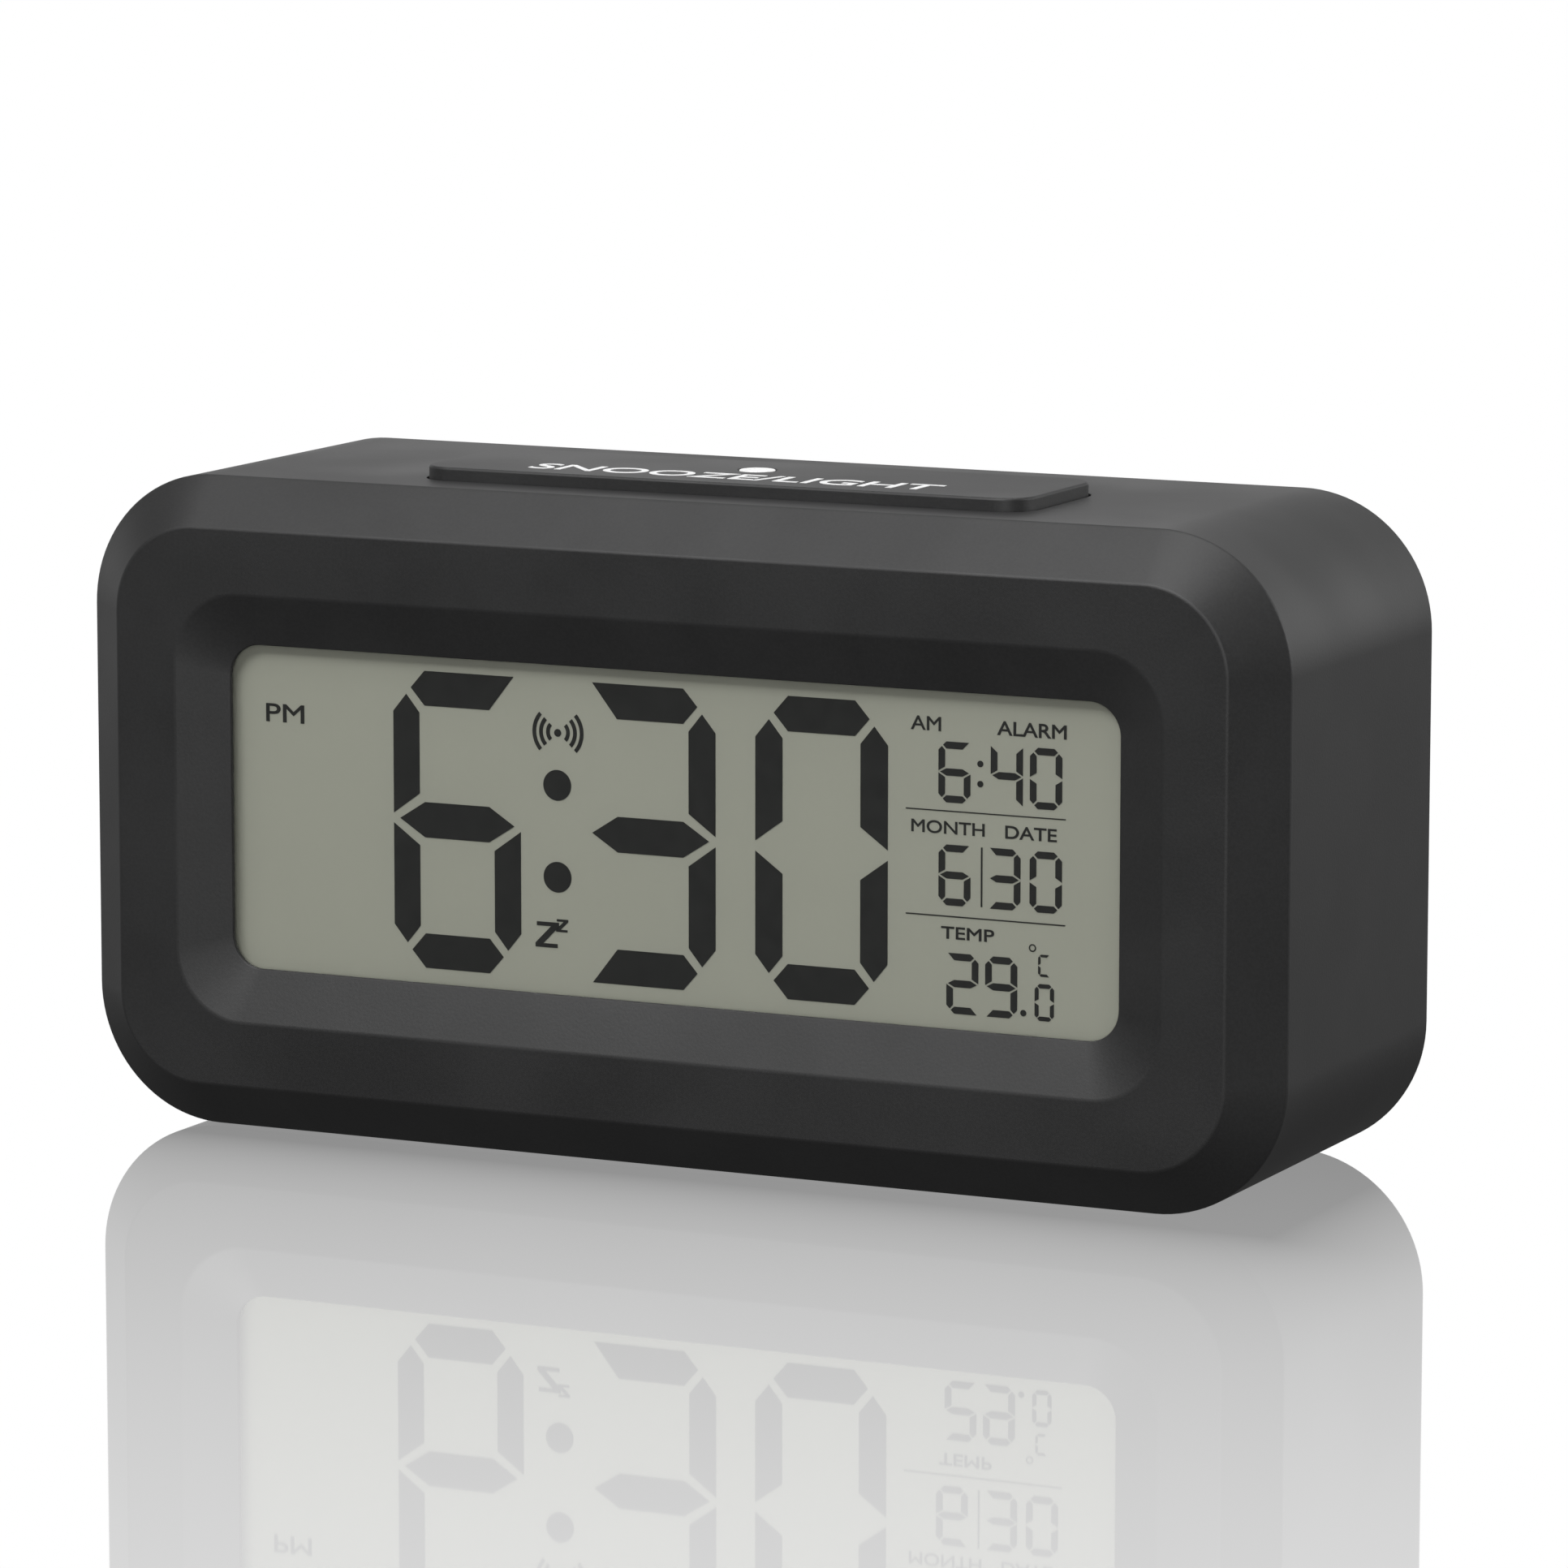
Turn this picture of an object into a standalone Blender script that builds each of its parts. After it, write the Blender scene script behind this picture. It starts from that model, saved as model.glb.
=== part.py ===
"""A battery-powered desk alarm clock with a large LCD, built as the assembly that comes apart on a bench.

Frame: +Z up, the display faces -Y, +X is to the right of someone reading the clock.
The origin is on the table, under the centre of the case. Units are metres.
"""

import math

import bmesh
import bpy
from mathutils import Vector

MM = 0.001

# ---------------------------------------------------------------- driving dimensions
# Case
CASE_WIDTH = 135.0 * MM
CASE_HEIGHT = 68.75 * MM
CASE_DEPTH = 43.3 * MM
CASE_CORNER = 14.2 * MM
CASE_WALL = 2.2 * MM
CHAMFER_IN = 5.05 * MM
CHAMFER_BACK = 4.4 * MM
FACE_BORDER = 6.8 * MM
FACE_THICKNESS = 2.8 * MM
RECESS_IN = 5.45 * MM
RECESS_DEPTH = 2.3 * MM
RECESS_CORNER = 7.5 * MM
WINDOW_CORNER = 3.4 * MM
CORNER_STEPS = 10

# Fits between neighbours
CLOSE_GAP = 0.1 * MM
FIT_GAP = 0.15 * MM
SLIDE_GAP = 0.25 * MM

# Feet
FOOT_RADIUS = 4.0 * MM
FOOT_PROUD = 0.2 * MM
FOOT_SUNK = 0.8 * MM
FOOT_EDGE = 0.15 * MM
FOOT_INSET_X = 24.0 * MM
FOOT_INSET_Y = 11.15 * MM

# Display stack, front to back
LENS_THICKNESS = 0.8 * MM
LCD_THICKNESS = 2.8 * MM
LCD_BORDER = 2.5 * MM
LCD_LEDGE = 3.0 * MM
GUIDE_THICKNESS = 3.4 * MM
REFLECTOR_THICKNESS = 0.2 * MM
FRAME_WALL = 1.6 * MM
FRAME_FLOOR = 1.3 * MM
LED_DEPTH = 1.2 * MM
LED_WIDTH = 2.8 * MM
LED_HEIGHT = 3.5 * MM
LED_BOARD_THICKNESS = 0.8 * MM
LED_BOARD_HEIGHT = 26.0 * MM
ZEBRA_HEIGHT = 2.2 * MM
ZEBRA_RAISE = 0.3 * MM

# Main board
BOARD_THICKNESS = 1.6 * MM
BOARD_EDGE_GAP = 3.6 * MM
BOARD_OVERHANG = 0.425 * MM
BOARD_BOSS_RADIUS = 2.8 * MM
BOARD_BOSS_INSET = 9.0 * MM
BOARD_SCREW_LENGTH = 7.6 * MM
CHIP_RADIUS = 7.0 * MM
CHIP_HEIGHT = 1.7 * MM
CHIP_X = -16.0 * MM
CRYSTAL_RADIUS = 1.5 * MM
CRYSTAL_LENGTH = 8.0 * MM
CRYSTAL_X = 16.0 * MM

# Top bar: it sits a little right of the case's middle
BAR_WIDTH = 68.4 * MM
BAR_DEPTH = 19.3 * MM
BAR_CORNER = 3.4 * MM
BAR_X = 2.0 * MM
BAR_Y = -1.9 * MM
BAR_PROUD = 1.4 * MM
BAR_ROOF = 1.6 * MM
BAR_FLANGE = 1.2 * MM
BAR_FLANGE_THICKNESS = 1.0 * MM
BAR_TRAVEL = 0.8 * MM
BAR_PLUNGER_RADIUS = 1.8 * MM
BAR_TO_STEM = 3.2 * MM
WINDOW_DOT_RADIUS = 1.88 * MM
WINDOW_DOT_BACK = 2.25 * MM
WINDOW_DOT_LEFT = 0.9 * MM
WINDOW_DOT_LENGTH = 2.0 * MM

# Push switches, shared by the top bar and the rear keys
SWITCH_SIDE = 6.0 * MM
SWITCH_HEIGHT = 3.5 * MM
SWITCH_BORE_DEPTH = 2.6 * MM
STEM_RADIUS = 1.7 * MM
STEM_PROUD = 1.2 * MM
STEM_EDGE = 0.3 * MM

# Top bar's board
SNOOZE_BOARD_WIDTH = 88.0 * MM
SNOOZE_BOARD_DEPTH = 12.0 * MM
SNOOZE_BOARD_THICKNESS = 1.2 * MM
SNOOZE_SWITCH_SPREAD = 22.0 * MM
SNOOZE_BOSS_SPREAD = 40.0 * MM
BOSS_RADIUS = 2.5 * MM
STAKE_RADIUS = 1.1 * MM
STAKE_LENGTH = 2.0 * MM
LIGHT_SENSOR_RADIUS = 2.2 * MM
LIGHT_SENSOR_HEIGHT = 2.0 * MM
LIGHT_SENSOR_EDGE = 0.5 * MM

# Rear cover and its screws
COVER_THICKNESS = 2.0 * MM
COVER_SUNK = 1.4 * MM
COVER_BOSS_RADIUS = 3.2 * MM
COVER_BOSS_INSET = 9.4 * MM
PILOT_RADIUS = 1.3 * MM
PILOT_SPARE = 1.0 * MM
SHANK_RADIUS = 1.15 * MM
SHANK_POINT = 1.2 * MM
COVER_SCREW_LENGTH = 8.0 * MM
HEAD_RADIUS = 2.6 * MM
HEAD_HEIGHT = 1.5 * MM
HEAD_SINK = 1.2 * MM
CROSS_REACH = 1.7 * MM
CROSS_WIDTH = 0.7 * MM
CROSS_DEPTH = 0.9 * MM

# Rear keys
KEY_ROW_DROP = 12.6 * MM
KEY_NAMES = ("mode", "set", "up", "down")
KEY_FIRST_X = -33.0 * MM
KEY_PITCH = 14.0 * MM
KEY_RADIUS = 3.5 * MM
KEY_EDGE = 0.35 * MM
KEY_PROUD = 1.0 * MM
KEY_FLANGE = 1.0 * MM
KEY_FLANGE_THICKNESS = 1.0 * MM
KEY_TRAVEL = 0.6 * MM
KEY_PLUNGER_RADIUS = 1.4 * MM
KEY_TO_STEM = 0.8 * MM
KEY_BOARD_LEFT = -46.0 * MM
KEY_BOARD_RIGHT = 51.5 * MM
KEY_BOARD_HEIGHT = 13.5 * MM
KEY_POST_X = (-42.0 * MM, 33.2 * MM)

# Night-light switch
SLIDER_X = 25.0 * MM
SLIDER_TRAVEL = 2.0 * MM
SLIDER_BODY_WIDTH = 8.6 * MM
SLIDER_BODY_DEPTH = 3.4 * MM
SLIDER_BODY_HEIGHT = 4.4 * MM
SLIDER_POST_WIDTH = 1.8 * MM
SLIDER_POST_HEIGHT = 2.4 * MM
SLIDER_PROUD = 0.9 * MM
SLIDER_BITE = 1.6 * MM

# Buzzer and temperature sensor
BUZZER_X = 43.0 * MM
BUZZER_RADIUS = 6.0 * MM
BUZZER_HEIGHT = 5.6 * MM
BUZZER_PORT_RADIUS = 1.0 * MM
BUZZER_PORT_DEPTH = 1.5 * MM
GRILLE_HOLE_RADIUS = 0.8 * MM
GRILLE_RING_RADIUS = 3.0 * MM
GRILLE_RING_COUNT = 6
VENT_SLOTS = 4
VENT_WIDTH = 7.0 * MM
VENT_HEIGHT = 1.2 * MM
VENT_PITCH = 2.8 * MM
VENT_X = -46.0 * MM
VENT_Z = 32.0 * MM
THERMISTOR_RADIUS = 1.4 * MM
THERMISTOR_BEAD = 3.0 * MM
THERMISTOR_LEG_RADIUS = 0.6 * MM
THERMISTOR_SHORT_OF_COVER = 2.0 * MM

# Battery bay: AAA cells side by side, every other one turned round
CELL_COUNT = 3
CELL_RADIUS = 5.25 * MM
CELL_LENGTH = 44.5 * MM
CELL_EDGE = 0.4 * MM
CELL_NUB_RADIUS = 1.9 * MM
CELL_NUB_HEIGHT = 1.1 * MM
CELL_SPACING = 0.7 * MM
SPRING_ROOM = 7.0 * MM
NUB_ROOM = 1.3 * MM
BAY_SIDE_GAP = 0.75 * MM
BAY_DEPTH_SPARE = 1.7 * MM
BAY_WALL = 1.5 * MM
BAY_BOTTOM = 10.3 * MM
RIB_THICKNESS = 1.2 * MM
RIB_HEIGHT = 2.0 * MM
RIB_SHORT = 8.0 * MM
CONTACT_THICKNESS = 0.4 * MM
CONTACT_SIDE = 7.6 * MM
CONTACT_BUMP_RADIUS = 2.6 * MM
CONTACT_BUMP_TURN = 1.7 * math.pi
CONTACT_BUMP_HEIGHT = 0.6 * MM
TAIL_WIDTH = 3.0 * MM
TAIL_OUT = 2.0 * MM
TAIL_SLOT_DEPTH = 1.2 * MM
WIRE_RADIUS = 0.35 * MM
COIL_WIDE = 3.1 * MM
COIL_NARROW = 2.1 * MM
COIL_TURNS = 3
COIL_STEPS = 12

# Battery door
DOOR_THICKNESS = 1.6 * MM
DOOR_SEAT = 2.0 * MM
DOOR_CORNER = 2.2 * MM
DOOR_LEDGE_DEPTH = 1.5 * MM
TAB_WIDTH = 8.0 * MM
TAB_SPREAD = 16.0 * MM
TAB_REACH = 1.8 * MM
TAB_THICKNESS = 1.4 * MM
TAB_ROOT = 1.8 * MM
TAB_SWING_ROOM = 1.2 * MM
LATCH_WIDTH = 14.0 * MM
LATCH_LENGTH = 5.5 * MM
LATCH_SLOT = 0.8 * MM
LATCH_RIDGES = 3
LATCH_RIDGE_HEIGHT = 0.5 * MM
LATCH_RIDGE_THICKNESS = 0.6 * MM
LATCH_RIDGE_PITCH = 1.3 * MM
NOTCH_DEPTH = 1.6 * MM
NOTCH_DEEP = 3.4 * MM

# Leads and flat cables
LEAD_RADIUS = 0.6 * MM
LEAD_STRAIGHT = 0.3
RED_LEAD_RUN = (9.0 * MM, -8.0 * MM)
BLACK_LEAD_RUN = (-8.0 * MM, 9.0 * MM)
RIBBON_THICKNESS = 0.5 * MM
KEY_RIBBON_WIDTH = 10.0 * MM
KEY_RIBBON_X = 10.0 * MM
SNOOZE_RIBBON_WIDTH = 5.0 * MM
SNOOZE_RIBBON_X = -28.0 * MM
RIBBON_SAG = 1.0 * MM
KEY_RIBBON_EDGE = 2.0 * MM
RIBBON_LAND = 5.0 * MM
SNOOZE_RIBBON_LAND = 9.0 * MM
SNOOZE_RIBBON_BACK = 2.0 * MM
SNOOZE_RIBBON_BEND = 7.0 * MM

# ---------------------------------------------------------------- places that follow from them
CASE_FRONT = -CASE_DEPTH / 2
CASE_BACK = CASE_DEPTH / 2
CASE_BOTTOM = FOOT_PROUD
CASE_TOP = CASE_BOTTOM + CASE_HEIGHT
CASE_MID_Z = CASE_BOTTOM + CASE_HEIGHT / 2
WALL_TOP = CASE_TOP - CASE_WALL

WINDOW_INSET = CHAMFER_IN + FACE_BORDER + RECESS_IN
WINDOW_HALF_X = CASE_WIDTH / 2 - WINDOW_INSET
WINDOW_HALF_Z = CASE_HEIGHT / 2 - WINDOW_INSET
FACE_INNER = CASE_FRONT + FACE_THICKNESS
BOSS_ROOT = FACE_INNER - FACE_THICKNESS / 3

LENS_FRONT = FACE_INNER + CLOSE_GAP
LENS_BACK = LENS_FRONT + LENS_THICKNESS
LCD_FRONT = LENS_BACK + CLOSE_GAP
LCD_BACK = LCD_FRONT + LCD_THICKNESS
GUIDE_FRONT = LCD_BACK + CLOSE_GAP
GUIDE_BACK = GUIDE_FRONT + GUIDE_THICKNESS
REFLECTOR_FRONT = GUIDE_BACK + CLOSE_GAP
REFLECTOR_BACK = REFLECTOR_FRONT + REFLECTOR_THICKNESS
FRAME_FLOOR_FRONT = REFLECTOR_BACK + CLOSE_GAP
FRAME_BACK = FRAME_FLOOR_FRONT + FRAME_FLOOR
BOARD_FRONT = FRAME_BACK + FIT_GAP
BOARD_BACK = BOARD_FRONT + BOARD_THICKNESS
BOARD_SEAT = BOARD_FRONT - FIT_GAP

LCD_HALF_X = WINDOW_HALF_X + LCD_BORDER
LCD_TOP = CASE_MID_Z + WINDOW_HALF_Z + LCD_BORDER
GUIDE_BOTTOM = CASE_MID_Z - WINDOW_HALF_Z - LCD_BORDER
LCD_BOTTOM = GUIDE_BOTTOM - LCD_LEDGE
GUIDE_MID_Y = (GUIDE_FRONT + GUIDE_BACK) / 2
BOARD_HALF_X = CASE_WIDTH / 2 - CASE_WALL - BOARD_EDGE_GAP
BOARD_BOSS_X = CASE_WIDTH / 2 - BOARD_BOSS_INSET
BOARD_MID_Z = (LCD_TOP + LCD_BOTTOM) / 2
BOARD_HEIGHT = LCD_TOP - LCD_BOTTOM + 2 * BOARD_OVERHANG
ON_BOARD = BOARD_BACK + CLOSE_GAP

COVER_OUTER = CASE_BACK - COVER_SUNK
COVER_INNER = COVER_OUTER - COVER_THICKNESS
COVER_MID = (COVER_INNER + COVER_OUTER) / 2
COVER_SEAT = COVER_INNER - FIT_GAP
COVER_BOSS_X = CASE_WIDTH / 2 - COVER_BOSS_INSET
COVER_BOSS_Z = (CASE_BOTTOM + COVER_BOSS_INSET, CASE_TOP - COVER_BOSS_INSET)
BEFORE_COVER = COVER_INNER - COVER_THICKNESS
BEHIND_COVER = COVER_OUTER + COVER_THICKNESS

KEY_ROW_Z = CASE_TOP - KEY_ROW_DROP
KEY_FLANGE_BACK = COVER_INNER - FIT_GAP
KEY_FLANGE_FRONT = KEY_FLANGE_BACK - KEY_FLANGE_THICKNESS
KEY_STEM_TOP = KEY_FLANGE_FRONT - KEY_TO_STEM
ON_KEY_BOARD = KEY_STEM_TOP - STEM_PROUD - SWITCH_HEIGHT
KEY_BOARD_BACK = ON_KEY_BOARD - FIT_GAP
KEY_BOARD_FRONT = KEY_BOARD_BACK - BOARD_THICKNESS
KEY_BOARD_LOW = KEY_ROW_Z - KEY_BOARD_HEIGHT / 2

BAR_TOP = CASE_TOP + BAR_PROUD
BAR_CEILING = BAR_TOP - BAR_ROOF
BAR_FLANGE_TOP = WALL_TOP - FIT_GAP
BAR_FLANGE_BOTTOM = BAR_FLANGE_TOP - BAR_FLANGE_THICKNESS
SNOOZE_STEM_TOP = BAR_FLANGE_BOTTOM - BAR_TO_STEM
ON_SNOOZE_BOARD = SNOOZE_STEM_TOP - STEM_PROUD - SWITCH_HEIGHT
SNOOZE_BOARD_TOP = ON_SNOOZE_BOARD - FIT_GAP
SNOOZE_BOARD_BOTTOM = SNOOZE_BOARD_TOP - SNOOZE_BOARD_THICKNESS
WINDOW_DOT_X = BAR_X - WINDOW_DOT_LEFT
WINDOW_DOT_Y = BAR_Y + WINDOW_DOT_BACK

DOOR_INNER = COVER_OUTER - DOOR_THICKNESS
CELL_PITCH = 2 * CELL_RADIUS + CELL_SPACING
BAY_HALF_X = (CELL_LENGTH + SPRING_ROOM + NUB_ROOM) / 2
BAY_HALF_Z = CELL_PITCH * (CELL_COUNT - 1) / 2 + CELL_RADIUS + BAY_SIDE_GAP
BAY_MID_Z = BAY_BOTTOM + BAY_HALF_Z
BAY_TOP = BAY_MID_Z + BAY_HALF_Z
BAY_FLOOR = DOOR_INNER - 2 * CELL_RADIUS - BAY_DEPTH_SPARE
CELL_Y = BAY_FLOOR + FIT_GAP + CELL_RADIUS
DOOR_HALF_X = BAY_HALF_X + DOOR_SEAT
DOOR_HALF_Z = BAY_HALF_Z + DOOR_SEAT
DOOR_BOTTOM = BAY_MID_Z - DOOR_HALF_Z
DOOR_TOP = BAY_MID_Z + DOOR_HALF_Z
TAB_BACK = COVER_INNER - SLIDE_GAP
TAB_FRONT = TAB_BACK - TAB_THICKNESS
TAIL_END = BAY_FLOOR - BAY_WALL - TAIL_OUT

# ---------------------------------------------------------------- looks: name, colour, roughness, metallic
BLACK_PAINT = ("black_soft_paint", (0.035, 0.035, 0.036), 0.5, 0.0)
BLACK_PLASTIC = ("black_plastic", (0.025, 0.025, 0.027), 0.55, 0.0)
BLACK_RUBBER = ("black_rubber", (0.02, 0.02, 0.02), 0.85, 0.0)
CLEAR_PLASTIC = ("clear_plastic", (0.9, 0.92, 0.9), 0.08, 0.0)
LCD_GREY = ("lcd_grey", (0.30, 0.31, 0.27), 0.4, 0.0)
MILK_PLASTIC = ("milk_plastic", (0.85, 0.85, 0.83), 0.35, 0.0)
WHITE_FILM = ("white_film", (0.8, 0.8, 0.8), 0.6, 0.0)
NATURAL_PLASTIC = ("natural_plastic", (0.62, 0.60, 0.54), 0.5, 0.0)
BOARD_GREEN = ("board_green", (0.03, 0.16, 0.06), 0.4, 0.0)
CONDUCTIVE_RUBBER = ("conductive_rubber", (0.05, 0.05, 0.05), 0.8, 0.0)
EPOXY = ("black_epoxy", (0.012, 0.012, 0.012), 0.3, 0.0)
STEEL = ("bright_steel", (0.60, 0.60, 0.60), 0.3, 1.0)
NICKEL = ("nickel_plate", (0.66, 0.63, 0.56), 0.28, 1.0)
CELL_SLEEVE = ("cell_sleeve", (0.05, 0.09, 0.16), 0.35, 0.2)
SENSOR_CERAMIC = ("sensor_ceramic", (0.66, 0.30, 0.10), 0.45, 0.0)
RED_LEAD = ("red_lead", (0.45, 0.02, 0.02), 0.5, 0.0)
BLACK_LEAD = ("black_lead", (0.02, 0.02, 0.02), 0.5, 0.0)
RIBBON_GREY = ("ribbon_grey", (0.45, 0.45, 0.46), 0.5, 0.0)

AXIS_TURN = {
    "+X": (0.0, math.pi / 2, 0.0),
    "-X": (0.0, -math.pi / 2, 0.0),
    "+Y": (-math.pi / 2, 0.0, 0.0),
    "+Z": (0.0, 0.0, 0.0),
    "-Z": (math.pi, 0.0, 0.0),
}
FLAT_IN_XZ = (math.pi / 2, 0.0, 0.0)
FLAT_IN_YZ = (math.pi / 2, 0.0, math.pi / 2)
SIDES = {"left": -1, "right": 1}


# ---------------------------------------------------------------- tools
def clear_scene():
    for obj in list(bpy.data.objects):
        bpy.data.objects.remove(obj)


def new_collection(name, parent, hidden=False):
    collection = bpy.data.collections.new(name)
    parent.children.link(collection)
    collection.hide_render = hidden
    return collection


def give_look(obj, look):
    name, colour, roughness, metallic = look
    material = bpy.data.materials.get(name)
    if material is None:
        material = bpy.data.materials.new(name)
        material.use_nodes = True
        shader = material.node_tree.nodes["Principled BSDF"]
        shader.inputs["Base Color"].default_value = (*colour, 1.0)
        shader.inputs["Roughness"].default_value = roughness
        shader.inputs["Metallic"].default_value = metallic
    obj.data.materials.clear()
    obj.data.materials.append(material)


def place(name, data, look, location=(0, 0, 0), rotation=(0, 0, 0)):
    """Links the data as a piece of the clock, or as a helper shape where no look is given."""
    obj = bpy.data.objects.new(name, data)
    obj.location = location
    obj.rotation_euler = rotation
    if look is None:
        CUTTERS.objects.link(obj)
        obj.hide_render = True
        obj.display_type = "WIRE"
    else:
        CLOCK.objects.link(obj)
        give_look(obj, look)
    return obj


def smooth_round(obj):
    obj.data.shade_smooth()
    obj.data.set_sharp_from_angle(angle=math.radians(40))


def block(name, look, low, high):
    """A box from its low corner to its high corner, with its origin at its centre."""
    low, high = Vector(low), Vector(high)
    mesh = bpy.data.meshes.new(name)
    bm = bmesh.new()
    bmesh.ops.create_cube(bm, size=1.0)
    bmesh.ops.scale(bm, vec=high - low, verts=bm.verts)
    bm.to_mesh(mesh)
    bm.free()
    return place(name, mesh, look, (low + high) / 2)


def rod(name, look, foot, radius, length, turn="+Z", sides=16):
    """A cylinder that starts at the point foot and runs along turn."""
    mesh = bpy.data.meshes.new(name)
    bm = bmesh.new()
    bmesh.ops.create_cone(
        bm, cap_ends=True, segments=sides, radius1=radius, radius2=radius, depth=length
    )
    bmesh.ops.translate(bm, vec=(0, 0, length / 2), verts=bm.verts)
    bm.to_mesh(mesh)
    bm.free()
    obj = place(name, mesh, look, foot, AXIS_TURN[turn])
    smooth_round(obj)
    return obj


def turned(name, look, profile, location, turn="+Z", steps=20):
    """A turned shape. The profile is (radius, height) pairs from the top, down its outer side."""
    mesh = bpy.data.meshes.new(name)
    points = [(radius, 0.0, height) for radius, height in profile]
    edges = [(i, i + 1) for i in range(len(points) - 1)]
    mesh.from_pydata(points, edges, [])
    obj = place(name, mesh, look, location, AXIS_TURN[turn])
    screw = obj.modifiers.new("turn", "SCREW")
    screw.axis = "Z"
    screw.angle = 2 * math.pi
    screw.steps = steps
    screw.render_steps = steps
    screw.use_merge_vertices = True
    screw.merge_threshold = 0.00001
    return obj


def round_rectangle(half_x, half_y, radius, steps=CORNER_STEPS):
    """Points round a rectangle with round corners, counter-clockwise from its right side."""
    points = []
    for quarter, (side_x, side_y) in enumerate(((1, 1), (-1, 1), (-1, -1), (1, -1))):
        centre_x = side_x * (half_x - radius)
        centre_y = side_y * (half_y - radius)
        for step in range(steps + 1):
            angle = (quarter + step / steps) * math.pi / 2
            points.append((centre_x + radius * math.cos(angle), centre_y + radius * math.sin(angle)))
    return points


def sheet(name, look, outline, thickness, location, rotation=(0, 0, 0)):
    """A flat outline given a thickness, as a welded mesh that a Boolean can take."""
    curve = bpy.data.curves.new(name, "CURVE")
    curve.dimensions = "2D"
    curve.fill_mode = "BOTH"
    curve.extrude = thickness / 2
    spline = curve.splines.new("POLY")
    spline.points.add(len(outline) - 1)
    for point, (x, y) in zip(spline.points, outline):
        point.co = (x, y, 0.0, 1.0)
    spline.use_cyclic_u = True
    flat = place(f"{name}_outline", curve, None, location, rotation)

    bpy.context.view_layer.update()
    graph = bpy.context.evaluated_depsgraph_get()
    mesh = bpy.data.meshes.new_from_object(flat.evaluated_get(graph))
    bm = bmesh.new()
    bm.from_mesh(mesh)
    bmesh.ops.remove_doubles(bm, verts=bm.verts, dist=0.000001)
    bmesh.ops.recalc_face_normals(bm, faces=bm.faces)
    bm.to_mesh(mesh)
    bm.free()
    solid = place(name, mesh, look)
    solid.matrix_world = flat.matrix_world
    bpy.data.objects.remove(flat)
    return solid


def wire(name, look, points, radius):
    """A round wire with closed ends through the points."""
    curve = bpy.data.curves.new(name, "CURVE")
    curve.dimensions = "3D"
    curve.bevel_depth = radius
    curve.bevel_resolution = 2
    curve.use_fill_caps = True
    spline = curve.splines.new("POLY")
    spline.points.add(len(points) - 1)
    for point, position in zip(spline.points, points):
        point.co = (*position, 1.0)
    return place(name, curve, look)


def smooth_through(route, per_span=5):
    """Points of a smooth curve through the route's own points."""
    route = [Vector(point) for point in route]
    ends = [2 * route[0] - route[1], *route, 2 * route[-1] - route[-2]]
    points = []
    for a, b, c, d in zip(ends, ends[1:], ends[2:], ends[3:]):
        for step in range(per_span):
            t = step / per_span
            straight = 2 * b + (c - a) * t
            bend = (2 * a - 5 * b + 4 * c - d) * t**2 + (3 * b - a - 3 * c + d) * t**3
            points.append((straight + bend) / 2)
    return [*points, route[-1]]


def combine(obj, others, operation):
    """Joins the helper shapes to obj, or cuts them from it, all at once."""
    group = new_collection(f"{obj.name}_{operation.lower()}", CUTTERS)
    for other in others:
        CUTTERS.objects.unlink(other)
        group.objects.link(other)
    modifier = obj.modifiers.new(operation.lower(), "BOOLEAN")
    modifier.operation = operation
    modifier.operand_type = "COLLECTION"
    modifier.collection = group
    modifier.solver = "EXACT"


def join(obj, others):
    combine(obj, others, "UNION")


def cut(obj, others):
    combine(obj, others, "DIFFERENCE")


def fix_to(parent, *children):
    """Parents the children where they stand."""
    bpy.context.view_layer.update()
    for child in children:
        child.parent = parent
        child.matrix_parent_inverse = parent.matrix_world.inverted()


# ---------------------------------------------------------------- front case
def case_section(y, inset, radius):
    """One section of the case: a rounded rectangle at depth y, this far in from the outside."""
    outline = round_rectangle(CASE_WIDTH / 2 - inset, CASE_HEIGHT / 2 - inset, radius)
    return [(x, y, CASE_MID_Z + z) for x, z in outline]


def closed_loft(name, look, sections):
    """A closed skin through sections of equal point counts, the last joined to the first."""
    mesh = bpy.data.meshes.new(name)
    bm = bmesh.new()
    rows = [[bm.verts.new(point) for point in section] for section in sections]
    for row, following in zip(rows, rows[1:] + rows[:1]):
        for i in range(len(row)):
            j = (i + 1) % len(row)
            bm.faces.new((row[i], row[j], following[j], following[i]))
    bmesh.ops.recalc_face_normals(bm, faces=bm.faces)
    bm.to_mesh(mesh)
    bm.free()
    return place(name, mesh, look)


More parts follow.
